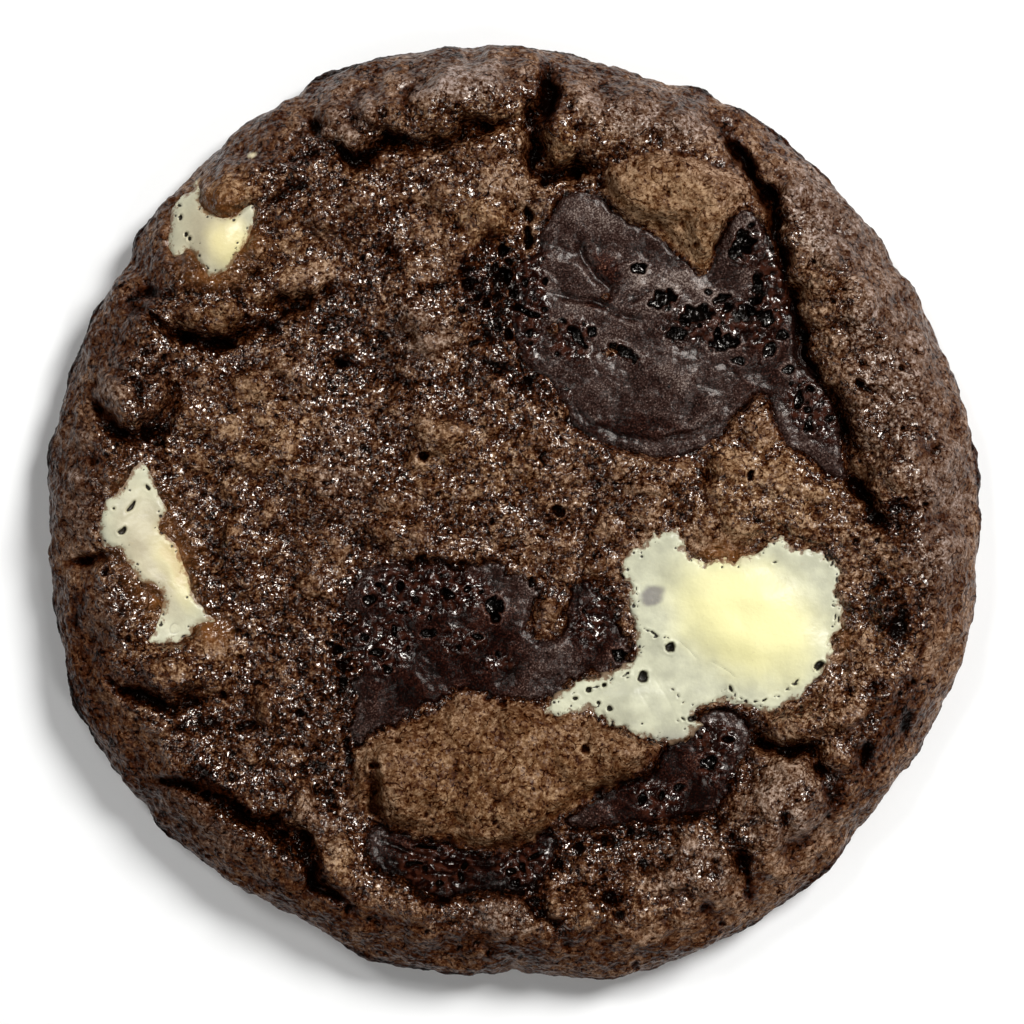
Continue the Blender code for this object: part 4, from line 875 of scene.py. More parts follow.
class Top:
    """The relief of the whole top: the dough's height, its masks and each piece of chocolate."""

    def __init__(self):
        self.warp_x = X + ripples(X, Y, (0.5, 2.6, 11), (0.2, 0.9, 12))
        self.warp_y = Y + ripples(X, Y, (0.5, 2.6, 13), (0.2, 0.9, 14))
        self.masks = {name: zones(self.warp_x, self.warp_y, *facts) for name, facts in ZONES.items()}
        self.height = self.dough_height()
        self.fall = fall(X, Y)
        plain = BELLY_HEIGHT + self.fall * (self.height - BELLY_HEIGHT)
        self.true_height = plain.copy()
        self.chunks = {name: self.seat(name, facts) for name, facts in CHUNKS.items()}
        self.moved = self.true_height - plain
        self.find_side()
        # Painted shade: the dough's colour darkens in its hollows and clefts, where shade falls
        cavity = blurred(self.true_height, 0.7) - self.true_height
        self.masks["cavity_shade"] = np.maximum(smooth(cavity / 0.5), 0.9 * self.masks["cleft"])

    def find_side(self):
        """Where the top falls off steeply at the rim, and how much sheen is left there."""
        along_y, along_x = np.gradient(blurred(self.true_height, 0.4), STEP)
        outward = -(along_x * X + along_y * Y) / np.maximum(np.hypot(X, Y), 1.0)
        steep = smooth((outward - 0.25) / 0.5) * smooth((share_out(X, Y) - 0.80) / 0.05)
        side = np.maximum(steep, smooth((share_out(X, Y) - 0.86) / 0.07))
        lit = smooth(0.5 + 0.6 * np.cos(np.arctan2(Y, X) - math.radians(55)))
        self.masks["side"] = side
        self.masks["sheen"] = 1.0 - side * (0.86 - 0.42 * lit)

    def dough_height(self):
        """The dough's height with its lumps, clefts, crumb and pores, and the masks that go with them."""
        wx, wy = self.warp_x, self.warp_y
        lumpy_x = wx + ripples(X, Y, (0.8, 1.7, 15), (0.3, 0.7, 17))
        lumpy_y = wy + ripples(X, Y, (0.8, 1.7, 16), (0.3, 0.7, 18))
        tan = zones(lumpy_x, lumpy_y, LUMPS, 0.9)
        smear = zones(wx, wy, DARKS, 0.8)
        height = level(X, Y) + swell_height(wx, wy, SWELLS) + waves()
        lumps = [(*place, LUMP_HEIGHT * min(1.0, place[3] / 1.6)) for *place, _ in LUMPS]
        height += swell_height(wx, wy, lumps)
        height -= DARK_DEPTH * smear
        for rise, shoulder, outline in PLATEAUS:
            inside = outline_distance(smooth_loop(outline), X, Y) + 0.15 * ripple(X, Y, 1.0, 29)
            height += rise * (smooth(inside / shoulder) - 0.5 * smooth((inside + 3.0) / 3.0))
            tan = np.maximum(tan, smooth((inside + 0.1) / 0.5))
            smear = smear * (1.0 - smooth((inside + 0.3) / 0.5))
        wet = zones(wx, wy, WET, 0.8) * (1 - 0.7 * tan)
        cleft, pore = np.zeros_like(X), np.zeros_like(X)
        cut_clefts(height, cleft, wx, wy)
        bias = -0.12 + 0.9 * tan - 0.6 * wet - 0.9 * smear - 0.5 * blurred(cleft, 0.8) + 0.008 * X
        field = ripples(wx, wy, (0.4, 5.0, 71), (0.4, 2.4, 73)) + 0.35 * ripple(X, Y, 1.2, 75)
        dry = smooth(0.5 + (field + bias) / 1.2)
        height += DRY_RISE * (dry - 0.6) * (1 - 0.7 * tan)
        height += PEBBLE_HEIGHT * (1 - 0.6 * tan) * (pebbles(wx, wy, PEBBLE_SIZE, 21) - 0.6)
        height += smear * ripples(wx, wy, (0.30, 1.7, 24), (0.15, 0.8, 26))
        height += (1 - 0.4 * dry) * (1 - 0.4 * tan) * ripples(wx, wy, (0.14, 1.5, 23), (0.15, 0.8, 25))
        height += GRAIN_HEIGHT * ripple(X, Y, 0.5, 27)
        for count, seed, least, size in PORES:
            press_pits(height, pore, scattered_pits(count, seed, least + (1 - least) * wet, size))
        in_the_middle = smooth((0.9 - share_out(X, Y)) / 0.1)
        count, seed, size = SMEAR_PORES
        press_pits(height, pore, scattered_pits(count, seed, smear * in_the_middle, size))
        press_pits(height, pore, CRUST_PITS)
        height -= (1.0 - TALL_KEPT) * np.maximum(height - TALL, 0.0)
        self.masks.update(tan=tan, dry=dry, smear=smear, cleft=cleft, pore=pore,
                          lightness=swell_height(wx, wy, TONE_AND_LIGHT))
        return height

    def seat(self, name, facts):
        """One piece of chocolate: its own relief, and the dough's lip round it."""
        dark = facts["slot"] == "dark_chocolate"
        loop = smooth_loop(facts["outline"])
        at = around(loop, 2.0)
        x, y = X[at], Y[at]
        bent = self.warp_x[at], self.warp_y[at]
        slightly_bent = self.warp_x * 0.3 + X * 0.7, self.warp_y * 0.3 + Y * 0.7
        clean = outline_distance(loop, x, y)
        edge = clean + facts["ragged"] * ripples(x, y, (1.0, 2.4, 30), (1.0, 1.0, 31), (0.6, 0.42, 33))
        for island in facts.get("islands", ()):
            edge = np.minimum(edge, (oval(*bent, *island) - 1.0) * min(island[2:4]))
        surface = level(x, y) + facts["rise"] + swell_height(x, y, facts.get("swells", ()))
        surface += ripples(x, y, (0.36, 4.5, 35), (0.11 if dark else 0.03, 1.8, 37))
        bubbly = zones(*bent, facts.get("bubbly", ()), 0.5)
        surface += bubbly * ripples(x, y, (0.34, 1.7, 41), (0.16, 0.8, 43))
        whole, pit, weight = np.zeros((3, *X.shape))
        whole[at] = surface
        press_pits(whole, pit, facts["pits"], *slightly_bent)
        marked = np.zeros_like(X) if dark else pit
        cut_grooves(whole, marked, facts.get("grooves", ()), *slightly_bent)
        if "bubbly" in facts:
            weight[at] = np.where(clean > 0.3, bubbly, 0.0)
            count = int(weight.sum() * STEP * STEP * facts["pitted"])
            press_pits(whole, pit, scattered_pits(count, 7, weight, BUBBLE_SIZE))
        press_pits(whole, pit, rows_of_pits(facts.get("rows", ()), 11))
        if not dark:
            weight[at] = np.where(edge > 0.1, np.exp(-(((edge - 0.35) / 0.35) ** 2)), 0.0)
            weight *= 0.3 + 0.7 * smooth(0.5 + ripple(X, Y, 3.0, 45) * 2.0)
            count = int(weight.sum() * STEP * STEP * PINHOLES_PER_MM2)
            press_pits(whole, pit, scattered_pits(count, 9, weight, PINHOLE_SIZE))
        # Painted shade and light: the chocolate darkens in the hollows of its folds and lightens on their
        # ridges
        fold_shading = np.clip((blurred(whole, 0.5) - whole)[at] / 0.07, -1.0, 1.0) * smooth(clean)
        surface = whole[at] - EDGE_DROP * np.exp(-((edge / EDGE_ROUND) ** 2))
        surface = BELLY_HEIGHT + self.fall[at] * (surface - BELLY_HEIGHT)
        if dark:
            over = outline_distance(smooth_loop(CHUNKS[WHITE_ON_TOP]["outline"]), x, y)
            surface = surface - HIDDEN_DROP * smooth((over + 0.1) / 0.6)
        self.fit_dough(at, edge, surface)
        if dark:
            # Painted shade: dough along the edge of dark chocolate is darker and greasier, a dark seam in the
            # crevice there
            width = STREAK_SEAM_WIDTH if "streak" in name else SEAM_WIDTH
            seam = np.exp(-((edge / width) ** 2)) * smooth(0.7 + ripple(x, y, 1.6, 47))
            self.masks["smear"][at] = np.maximum(self.masks["smear"][at], seam)
            self.masks["dry"][at] *= 1 - 0.8 * seam
        surface = surface - HIDDEN_DROP * smooth(-edge / LIP_WIDTH)
        return {"at": at, "clean": clean, "edge": edge, "surface": surface, "bubbly": bubbly, "pit": pit[at],
                "fold_shading": fold_shading}

    def fit_dough(self, at, edge, surface):
        """The dough dips under a piece of chocolate and rises to a soft lip round it."""
        dough = self.true_height[at]
        out = smooth(-edge / LIP_WIDTH)
        lip = surface + 0.05 * smooth(-edge / 0.3)
        outside = lip * (1 - out) + dough * out
        inside = np.minimum(dough, surface - 0.12 * smooth(edge / 0.25) - 1.0 * smooth((edge - 0.1) / 0.8))
        taken = self.masks.setdefault("taken", np.zeros_like(X))[at]
        outside = np.where(taken > 0.0, dough, outside)
        self.true_height[at] = np.where(edge > 0.0, inside, outside)
        self.masks["taken"][at] = np.maximum(taken, (edge > 0.0).astype(float))


def new_mesh(name, points, faces, normals=None):
    """A smooth-shaded mesh object from points in millimetres."""
    mesh = bpy.data.meshes.new(name)
    mesh.from_pydata((points * MM).tolist(), [], faces)
    mesh.shade_smooth()
    mesh.update()
    if normals is not None:
        mesh.normals_split_custom_set_from_vertices(normals.tolist())
    made = bpy.data.objects.new(name, mesh)
    bpy.context.scene.collection.objects.link(made)
    return made


def paint(piece, name, values):
    """One number for each corner point of the piece, which its material reads."""
    layer = piece.data.attributes.new(name, "FLOAT", "POINT")
    layer.data.foreach_set("value", values.astype(np.float32))


def grid_quads(index):
    """What a grid of values holds at the four corners of each cell."""
    return np.stack([index[:-1, :-1], index[:-1, 1:], index[1:, 1:], index[1:, :-1]], axis=-1)


def disc_points(cells):
    """An even square grid bent into a unit disc, and its boundary in order of angle."""
    a, b = np.meshgrid(np.linspace(-1, 1, cells + 1), np.linspace(-1, 1, cells + 1))
    wide = np.abs(a) > np.abs(b)
    radius = np.where(wide, a, b)
    other = np.where(wide, b, a)
    ratio = other / np.where(radius == 0, 1.0, radius) * (math.pi / 4)
    angle = np.where(wide, ratio, math.pi / 2 - ratio)
    points = np.stack([radius * np.cos(angle), radius * np.sin(angle)], axis=-1).reshape(-1, 2)
    index = np.arange((cells + 1) ** 2).reshape(cells + 1, cells + 1)
    half = cells // 2
    loop = np.concatenate([index[half:, -1], index[-1, -2::-1], index[-2::-1, 0], index[0, 1:],
                           index[1:half, -1]])
    return points, grid_quads(index).reshape(-1, 4), loop


def ring_quads(lower, upper):
    """Quads between two closed loops of points, in order of angle."""
    return np.stack([lower, np.roll(lower, -1), np.roll(upper, -1), upper], axis=-1)


def side_grain(points, angle, tilt, amount):
    """Crumbly unevenness of the side, along its own outward direction."""
    grain = np.array([noise.fractal(Vector(p / SIDE_GRAIN_SIZE), 0.7, 2.0, 4) for p in points])
    up = np.full_like(angle, math.sin(tilt))
    out = np.stack([np.cos(angle) * math.cos(tilt), np.sin(angle) * math.cos(tilt), up], axis=1)
    return points + out * (SIDE_GRAIN_HEIGHT * amount * grain)[:, None]


def rim_rings():
    """The rim's section: share of the radius, share of the rise above the belly, tilt of the face."""
    rings = []
    for k in range(1, TOP_RINGS):
        rings.append((PARTED_AT + (SHOULDER_AT - PARTED_AT) * k / TOP_RINGS, 1.0, math.pi / 2))
    for k in range(SHOULDER_RINGS + 1):
        t = math.pi / 2 * k / SHOULDER_RINGS
        rings.append((SHOULDER_AT + (1 - SHOULDER_AT) * math.sin(t), math.cos(t), math.pi / 2 - t))
    for k in range(1, FOOT_RINGS + 1):
        t = math.pi / 2 * k / FOOT_RINGS
        rings.append((FOOT_AT + (1 - FOOT_AT) * math.cos(t), -math.sin(t), -t))
    rings.append((FOOT_AT - FOOT_INSET, -1.0, -math.pi / 2))
    return rings


def rim_ring(top, angle, share, rise, tilt):
    """The points of one ring of the rim, in order of angle."""
    out = smooth((share - SHOULDER_AT) / (1 - SHOULDER_AT))
    flat_z = BELLY_HEIGHT * (1 + rise) if rise < 0 else BELLY_HEIGHT + rise * (MIDDLE_HEIGHT - BELLY_HEIGHT)
    z = np.full(len(angle), flat_z)
    radius = share * (outline_radius(angle) + out * side_relief(angle, z))
    x, y = radius * np.cos(angle), radius * np.sin(angle)
    if rise > 0:
        z = BELLY_HEIGHT + rise * (sample(top.height, x, y) - BELLY_HEIGHT) + sample(top.moved, x, y)
    ring = side_grain(np.stack([x, y, z], axis=1), angle, tilt, out * smooth(flat_z / 1.5))
    ring[:, 2] = np.maximum(ring[:, 2], 0.0)
    return ring


def shared_normals(points, faces):
    """The normals of the middle and the rim as one surface, so that their seam doesn't show."""
    whole = new_mesh("whole", points, faces.tolist())
    normals = np.empty(len(points) * 3, dtype=np.float32)
    whole.data.vertex_normals.foreach_get("vector", normals)
    bpy.data.objects.remove(whole)
    return normals.reshape(-1, 3)


def make_crust(top):
    """The dough: a middle and a rim that share their edge, each closed below out of sight."""
    disc, quads, loop = disc_points(MIDDLE_CELLS)
    angle = np.arctan2(disc[:, 1], disc[:, 0])
    x, y = (disc * (PARTED_AT * outline_radius(angle))[:, None]).T
    middle = np.stack([x, y, sample(top.true_height, x, y)], axis=1)
    rings = [rim_ring(top, angle[loop], *section) for section in rim_rings()]
    points = np.concatenate([middle, *rings])
    count = len(loop)
    index = np.vstack([loop, np.arange(len(middle), len(points)).reshape(-1, count)])
    bands = np.concatenate([ring_quads(*pair) for pair in zip(index, index[1:])])[:, ::-1]
    normals = shared_normals(points, np.concatenate([quads, bands]))
    # A normal of zero leaves that point's own normal as it is
    hidden = np.zeros((count, 3))
    skirt = middle[loop] * (1, 1, 0) + (0, 0, HIDDEN_FLOOR)
    floor = np.arange(len(middle), len(middle) + count)
    faces = quads.tolist() + ring_quads(loop, floor)[:, ::-1].tolist() + [floor[::-1].tolist()]
    plug = new_mesh("crust_middle", np.concatenate([middle, skirt]), faces,
                    np.concatenate([normals[:len(middle)], hidden]))
    used = np.concatenate([loop, np.arange(len(middle), len(points))])
    number = np.zeros(len(points), dtype=int)
    number[used] = np.arange(len(used))
    wall = np.arange(len(used), len(used) + count)
    closing = np.concatenate([ring_quads(number[index[-1]], wall), ring_quads(wall, number[loop])])[:, ::-1]
    rim = new_mesh("crust_rim", np.concatenate([points[used], skirt]),
                   np.concatenate([number[bands], closing]).tolist(), np.concatenate([normals[used], hidden]))
    return [plug, rim]


def make_underside():
    """The flat underside: a thin slab with the fine pores that a tray leaves."""
    disc, quads, loop = disc_points(UNDERSIDE_CELLS)
    spread = (FOOT_AT - UNDERSIDE_INSET) * outline_radius(np.arctan2(disc[:, 1], disc[:, 0]))
    x, y = (disc * spread[:, None]).T
    grain = 0.10 * pebbles(x, y, 1.4, 61) + ripples(x, y, (0.10, 0.9, 63), (0.06, 6.0, 65))
    z = 0.03 + np.clip(grain, 0.0, 0.4) + 0.9 * smooth((np.hypot(disc[:, 0], disc[:, 1]) - 0.985) / 0.015)
    points = np.stack([x, y, z], axis=1)
    lid = points[loop] * (1, 1, 0) + (0, 0, UNDERSIDE_THICK)
    top = np.arange(len(points), len(points) + len(loop))
    faces = quads[:, ::-1].tolist() + ring_quads(loop, top).tolist() + [top.tolist()]
    return new_mesh("crust_underside", np.concatenate([points, lid]), faces)


def make_chunk(name, chunk):
    """A piece of chocolate: its relief over a patch a little wider than what shows, closed below."""
    at = chunk["at"]
    gx, gy = np.meshgrid(*(np.arange(AXIS[part][0], AXIS[part][-1], CHUNK_CELL) for part in at[::-1]))

    def local(field):
        whole = np.zeros_like(X)
        whole[at] = field
        return sample(whole, gx, gy)

    clean = local(chunk["clean"])
    inside = (clean > -CHUNK_MARGIN) & (share_out(gx, gy) < EDGE_LIMIT)
    inside &= local(np.ones_like(chunk["clean"])) > 0.999
    cells = grid_quads(inside).all(axis=-1)
    quads = grid_quads(np.arange(gx.size).reshape(gx.shape))[cells]
    used, flat = np.unique(quads, return_inverse=True)
    points = np.stack([field.ravel()[used] for field in (gx, gy, local(chunk["surface"]))], axis=1)
    made = new_mesh(name, points, flat.reshape(-1, 4).tolist())
    for mask in ("bubbly", "pit", "edge", "fold_shading"):
        paint(made, mask, local(chunk[mask]).ravel()[used])
    close_below(made.data)
    return made


def close_below(mesh):
    """Walls from the mesh's open edge down to a flat floor."""
    work = bmesh.new()
    work.from_mesh(mesh)
    rim = [edge for edge in work.edges if edge.is_boundary]
    sides = bmesh.ops.extrude_edge_only(work, edges=rim)["geom"]
    floor_edges = [part for part in sides if isinstance(part, bmesh.types.BMEdge) and part.is_boundary]
    for corner in {corner for edge in floor_edges for corner in edge.verts}:
        corner.co.z = CHUNK_FLOOR * MM
    bmesh.ops.edgeloop_fill(work, edges=floor_edges)
    work.to_mesh(mesh)
    work.free()


def srgb(red, green, blue):
    """A colour as it looks on screen, from 0 to 255, made linear."""
    return tuple((v / 255 / 12.92) if v / 255 <= 0.04045 else ((v / 255 + 0.055) / 1.055) ** 2.4
                 for v in (red, green, blue)) + (1.0,)


class Look:
    """A material built from nodes, with short names for the ones that are used often."""

    def __init__(self, name):
        self.material = bpy.data.materials.new(name)
        self.material.use_nodes = True
        self.nodes = self.material.node_tree.nodes
        self.shader = self.nodes["Principled BSDF"]
        self.place = self.nodes.new("ShaderNodeTexCoord").outputs["Object"]

    def put(self, socket, value):
        """A link from another node's output, or a plain value."""
        if isinstance(value, bpy.types.NodeSocket):
            self.material.node_tree.links.new(value, socket)
        else:
            socket.default_value = value

    def noise(self, size, detail=2.0, roughness=0.5):
        """Random clouds of a size in millimetres, about 0 to 1."""
        node = self.nodes.new("ShaderNodeTexNoise")
        self.put(node.inputs["Vector"], self.place)
        self.put(node.inputs["Scale"], 1 / (size * MM))
        self.put(node.inputs["Detail"], detail)
        self.put(node.inputs["Roughness"], roughness)
        return node.outputs["Fac"]

    def mask(self, name):
        """What the piece was painted with under a name."""
        node = self.nodes.new("ShaderNodeAttribute")
        node.attribute_name = name
        return node.outputs["Fac"]

    def masks(self, *names):
        return [self.mask(name) for name in names]

    def math(self, operation, *values):
        node = self.nodes.new("ShaderNodeMath")
        node.operation = operation
        for socket, v in zip(node.inputs, values):
            self.put(socket, v)
        return node.outputs[0]

    def product(self, result, *factors):
        for factor in factors:
            result = self.math("MULTIPLY", result, factor)
        return result

    def ramp(self, value, low, high, to_low=0.0, to_high=1.0):
        """A value between two limits made to run between two others."""
        node = self.nodes.new("ShaderNodeMapRange")
        for socket, v in zip(node.inputs, (value, low, high, to_low, to_high)):
            self.put(socket, v)
        return node.outputs[0]

    def total(self, result, *terms):
        """A number plus each value times its weight."""
        for value, weight in terms:
            result = self.math("MULTIPLY_ADD", value, weight, result)
        return result

    def tones(self, value, *stops):
        """A colour that follows the value through some stops, each a place and a colour on screen."""
        node = self.nodes.new("ShaderNodeValToRGB")
        for place, colour in stops[1:-1]:
            node.color_ramp.elements.new(place)
        for element, (place, colour) in zip(node.color_ramp.elements, stops):
            element.position = place
            element.color = srgb(*colour)
        self.put(node.inputs[0], value)
        return node.outputs[0]

    def mix(self, factor, a, b, blend="MIX"):
        """Colour a where the factor is 0 and b, or their blend, where it is 1."""
        node = self.nodes.new("ShaderNodeMix")
        node.data_type = "RGBA"
        node.blend_type = blend
        for socket, v in ((node.inputs[0], factor), (node.inputs[6], a), (node.inputs[7], b)):
            self.put(socket, v)
        return node.outputs[2]

    def over(self, colour, *coats):
        """A colour under some coats, each a mask and a colour on screen."""
        for mask, coat in coats:
            colour = self.mix(mask, colour, srgb(*coat))
        return colour

    def tinted(self, colour, *tints):
        """A colour times some tints, each a mask and three factors."""
        for mask, tint in tints:
            colour = self.mix(mask, colour, (*tint, 1.0), "MULTIPLY")
        return colour

    def bump(self, height, distance):
        """Fine relief, with its height in millimetres."""
        node = self.nodes.new("ShaderNodeBump")
        self.put(node.inputs["Height"], height)
        self.put(node.inputs["Distance"], distance * MM)
        return node.outputs["Normal"]

    def finish(self, colour, roughness, normal, specular, tint=None):
        """The whole material, from its four channels and a tint of its shine."""
        for name, value in (("Base Color", colour), ("Roughness", roughness), ("Normal", normal),
                            ("Specular IOR Level", specular)):
            self.put(self.shader.inputs[name], value)
        if tint:
            self.put(self.shader.inputs["Specular Tint"], (*tint, 1.0))
        return self.material


def dough_look():
    """Baked chocolate dough: speckled brown crumb, dark greasy hollows between with painted shade in them,
    small glints.
    """
    look = Look("baked_dough")
    tan, dry, smear, cavity_shade, pore = look.masks("tan", "dry", "smear", "cavity_shade", "pore")
    amber, side, rosy, golden, pale = look.masks("amber", "side", "rosy", "golden", "pale")
    speckle = look.noise(0.5, 2.5, 0.9)
    blotch = look.noise(1.6, 2.0, 0.6)
    facets = look.noise(0.44, 0.0)
    mounds = look.noise(1.1, 2.0, 0.55)
    sparks = look.noise(0.27, 0.0)
    patches = look.noise(0.75, 1.0, 0.6)
    gaps = look.noise(0.36, 1.0, 0.5)
    calm = look.math("MAXIMUM", tan, side)
    veins = look.math("ABSOLUTE", look.math("SUBTRACT", look.noise(2.0, 2.0, 0.55), 0.5))
    broken = look.ramp(look.noise(1.2, 1.0, 0.5), 0.46, 0.54)
    crack = look.product(look.ramp(veins, 0.004, 0.022, 1.0, 0.0), broken)
    grain = look.product(look.math("SUBTRACT", speckle, 0.5), look.ramp(calm, 0.0, 1.0, 2.3, 1.35))
    # Painted shade darkens the dough in its hollows, clefts and dark crevices
    tone = look.total(0.315, (blotch, 0.52), (dry, 0.28), (tan, 0.045), (smear, -0.28), (cavity_shade, -0.30),
                      # Painted light and shade: the rim's side is lifted a little, and the table of lighter
                      # and darker parts partly paints light and shade
                      (side, 0.04), (grain, 1.0), (look.mask("lightness"), 0.9), (crack, -0.3),
                      # Painted shade darkens the pores and the small gaps between crumbs; the lips round the
                      # pores are darkened less
                      (look.ramp(pore, -1.0, 1.0, -0.10, 0.45), -1.0), (look.ramp(gaps, 0.60, 0.66), -0.32))
    colour = look.tones(tone, (0.0, (5, 1, 0)), (0.2, (30, 8, 0)), (0.4, (54, 24, 9)),
                        (0.55, (78, 48, 27)), (0.7, (104, 74, 51)), (1.0, (168, 138, 112)))
    # The cool tint on the rim's side is painted light there
    colour = look.tinted(colour, (rosy, (1.0, 1.18, 1.55)), (side, (1.0, 1.01, 1.06)),
                         (golden, (1.02, 0.99, 0.87)), (smear, (1.06, 0.94, 0.88)))
    colour = look.over(colour, (look.product(amber, 0.7), (124, 78, 38)), (pale, (206, 194, 160)))
    rough = look.total(0.09, (dry, 0.10), (calm, 0.16), (mounds, 0.08))
    height = look.total(0.0, (facets, 0.21), (mounds, 0.24), (sparks, 0.08), (crack, -0.1))
    height = look.product(height, look.ramp(calm, 0.0, 1.0, 1.0, 0.7))
    wet = look.product(look.ramp(dry, 0.0, 1.0, 1.0, 0.4), look.ramp(cavity_shade, 0.2, 1.0, 1.0, 0.2),
                       look.ramp(patches, 0.44, 0.54, 0.10, 1.0), look.ramp(tan, 0.0, 1.0, 1.0, 0.3),
                       look.mask("sheen"), look.ramp(tone, 0.0, 0.45, 0.3, 1.3))
    return look.finish(colour, rough, look.bump(height, 1.0), wet, tint=(1.0, 0.93, 0.86))


def dark_look():
    """Melted and set dark chocolate: satin with fine grain, glossy in its bubbles, with painted shade that
    makes them near black and painted sheen and shade on its folds.
    """
    look = Look("dark_chocolate_set")
    bubbly, pit, shade, bloom_sheen, edge, fold_shading = look.masks("bubbly", "pit", "shade", "bloom_and_sheen", "edge", "fold_shading")
    grain = look.noise(0.17, 1.0, 0.7)
    dust = look.noise(0.2, 1.0, 0.5)
    cloud = look.noise(2.4, 2.0, 0.5)
    pores = look.noise(0.3, 1.0, 0.5)
    knobs = look.noise(0.6, 0.5, 0.5)
    patches = look.noise(0.7, 1.0, 0.6)
    # Painted sheen: the grey patches of bloom are partly broad reflections painted into the colour
    tone = look.total(-0.70, (cloud, 0.66), (grain, 1.55), (bloom_sheen, 0.26), (bubbly, -0.09), (shade, -0.31),
                      # Painted shade in the hollows of the folds, painted light on their ridges
                      (fold_shading, -0.13), (look.ramp(dust, 0.62, 0.72), 0.24),
                      (look.ramp(pores, 0.30, 0.38, 1.0, 0.0), -0.3),
                      # Painted highlight on the raised lips round the pits, and painted shade in the pits
                      (look.ramp(pit, -0.9, -0.2, 1.0, 0.0), 0.24), (look.ramp(pit, 0.0, 1.0), -0.7),
                      # Painted shade in a thin band along the edge
                      (look.ramp(edge, 0.0, 0.35, 1.0, 0.0), -0.2))
    colour = look.tones(tone, (0.0, (5, 1, 0)), (0.25, (26, 8, 4)), (0.45, (44, 26, 21)),
                        (0.65, (70, 53, 47)), (1.0, (136, 121, 112)))
    colour = look.tinted(colour, (look.ramp(shade, 0.0, 0.8), (1.0, 0.64, 0.50)))
    crumb = look.mix(look.ramp(knobs, 0.45, 0.65), srgb(18, 3, 1), srgb(62, 30, 19))
    colour = look.mix(look.ramp(bubbly, 0.1, 0.7, 0.0, 0.75), colour, crumb)
    # Painted shade: the pits are coloured near black inside
    colour = look.over(colour, (look.ramp(pit, 0.1, 0.6), (5, 2, 1)))
    gloss = look.math("MAXIMUM", bubbly, pit)
    rough = look.ramp(gloss, 0.0, 0.8, 0.28, 0.12)
    height = look.total(0.0, (grain, 0.03), (cloud, 0.6), (knobs, look.ramp(gloss, 0.0, 0.7, 0.03, 0.26)))
    shine = look.product(look.ramp(patches, 0.46, 0.58, 0.1, 1.0), look.ramp(shade, 0.8, 1.5, 1.0, 0.35))
    satin = look.ramp(shade, 0.0, 1.0, 0.26, 0.08)
    specular = look.mix(look.ramp(gloss, 0.1, 0.6), satin, shine)
    return look.finish(colour, rough, look.bump(height, 1.0), specular, tint=(1.0, 0.94, 0.88))


def white_look():
    """Melted white chocolate: pale and dull at the edges, creamy yellow in the middle."""
    look = Look("white_chocolate_set")
    cream, pit, stain, edge, shade = look.masks("cream", "pit", "amber", "edge", "shade")
    cloud = look.noise(2.0, 3.0, 0.55)
    speck = look.noise(0.35, 3.0, 0.6)
    frayed = look.total(edge, (look.noise(0.9, 3.0, 0.7), -2.2))
    colour = look.mix(look.ramp(cloud, 0.35, 0.65), srgb(184, 183, 159), srgb(205, 204, 176))
    # Painted shade: a grey coat where the shade mask marks a dent in the white
    colour = look.over(colour, (cream, (242, 235, 174)), (look.product(shade, 0.8), (112, 106, 106)),
                       (look.ramp(frayed, -1.05, -0.75, 0.9, 0.0), (112, 84, 60)),
                       (look.product(stain, 0.45), (170, 122, 66)),
                       (look.ramp(speck, 0.62, 0.8, 0.0, 0.3), (190, 172, 128)),
                       (look.ramp(pit, 0.2, 0.6, 0.0, 0.96), (26, 15, 9)))
    rough = look.ramp(cloud, 0.3, 0.7, 0.3, 0.45)
    height = look.total(0.0, (speck, 0.4), (look.noise(1.1, 2.0), 1.0))
    return look.finish(colour, rough, look.bump(height, 0.06), 0.3)


def floor_look():
    look = Look("pale_floor")
    cloud = look.noise(30.0, 2.0)
    colour = look.mix(cloud, srgb(244, 244, 243), srgb(250, 250, 249))
    return look.finish(colour, 0.7, look.bump(look.noise(1.0), 0.01), 0.3)


def lay_masks(piece, top, names):
    """Writes the grid's masks to a piece, by where its points lie seen from above."""
    flat = np.empty(len(piece.data.vertices) * 3, dtype=np.float32)
    piece.data.vertices.foreach_get("co", flat)
    x, y, _ = flat.reshape(-1, 3).T.astype(float) / MM
    for name in names:
        paint(piece, name, sample(top.masks[name], x, y))


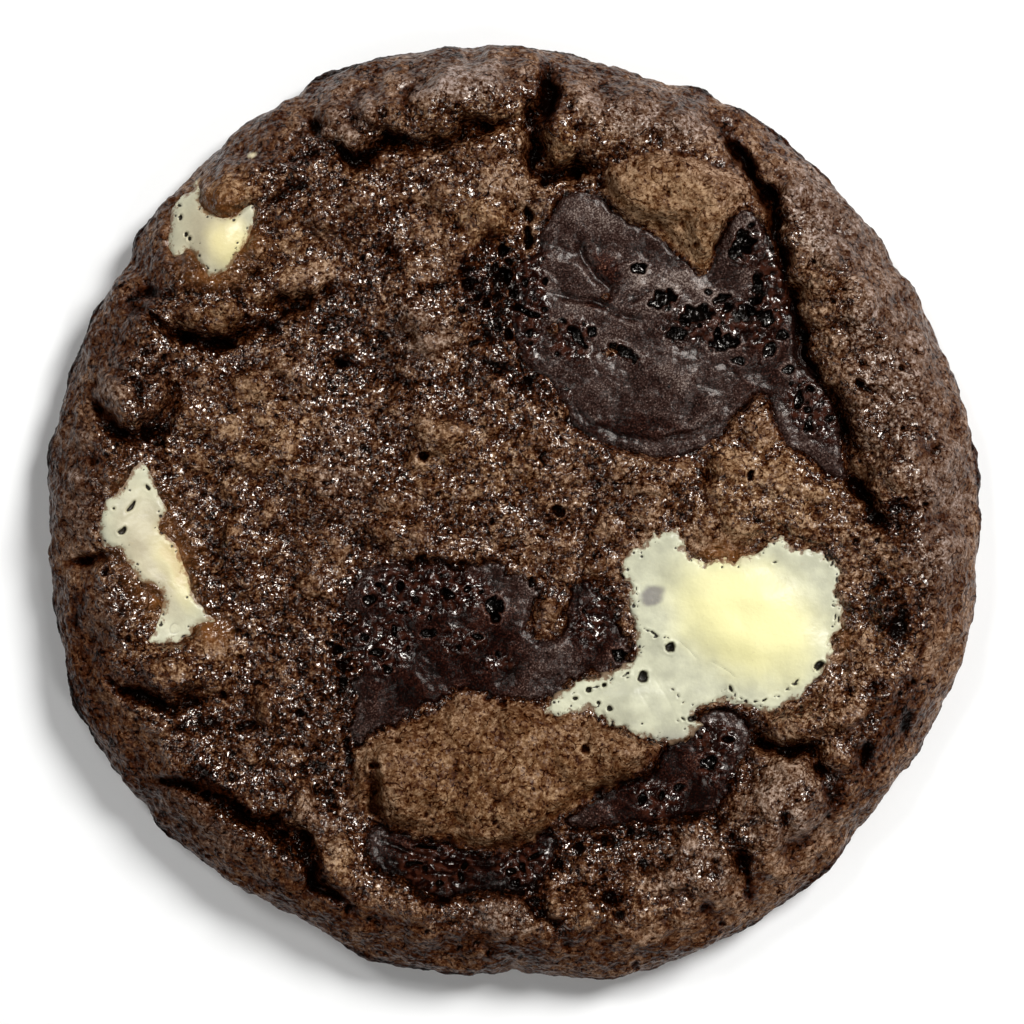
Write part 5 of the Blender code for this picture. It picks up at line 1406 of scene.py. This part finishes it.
def dress(piece, look, nodes):
    """Gives a piece its material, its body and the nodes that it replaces."""
    piece.data.materials.append(look)
    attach(piece, "root")
    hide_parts(*nodes)


def make_cookie():
    top = Top()
    dough = dough_look()
    for piece in make_crust(top) + [make_underside()]:
        lay_masks(piece, top, DOUGH_MASKS)
        dress(piece, dough, ["dough"])
    looks = {"dark_chocolate": dark_look(), "white_chocolate": white_look()}
    for name, chunk in top.chunks.items():
        piece = make_chunk(f"melted_{name}", chunk)
        lay_masks(piece, top, CHUNK_MASKS)
        slot = CHUNKS[name]["slot"]
        dress(piece, looks[slot], [name])


def make_floor():
    bpy.ops.mesh.primitive_plane_add(size=FLOOR_SIZE, location=(0, 0, -FLOOR_DROP))
    floor = bpy.context.object
    floor.name = "floor"
    floor.data.materials.append(floor_look())


def area_light(name, azimuth, elevation, size, power):
    """A soft round light that points at the cookie."""
    a, e = math.radians(azimuth), math.radians(elevation)
    place = LIGHT_DISTANCE * Vector((math.cos(a) * math.cos(e), math.sin(a) * math.cos(e), math.sin(e)))
    data = bpy.data.lights.new(name, "AREA")
    data.shape = "DISK"
    data.size = size
    data.energy = power
    light = bpy.data.objects.new(name, data)
    light.location = place
    light.rotation_euler = place.to_track_quat("Z", "Y").to_euler()
    bpy.context.scene.collection.objects.link(light)


def make_studio():
    """Key light from the upper right, weaker ones at its sides and opposite, and a dim even surround."""
    for name, facts in LIGHTS.items():
        area_light(name, *facts)
    world = bpy.data.worlds.new("studio")
    world.use_nodes = True
    surround = world.node_tree.nodes["Background"].inputs
    surround["Color"].default_value = (1.0, 1.0, 1.0, 1.0)
    surround["Strength"].default_value = SURROUND
    camera = bpy.data.cameras.new("camera")
    camera.sensor_width = CAMERA_SENSOR_MM
    camera.lens = CAMERA_LENS_MM
    view = bpy.data.objects.new("camera", camera)
    view.location = (0.0, 0.0, CAMERA_HEIGHT)
    scene = bpy.context.scene
    scene.world = world
    scene.collection.objects.link(view)
    scene.camera = view
    scene.view_settings.view_transform = "Standard"


make_cookie()
make_floor()
make_studio()
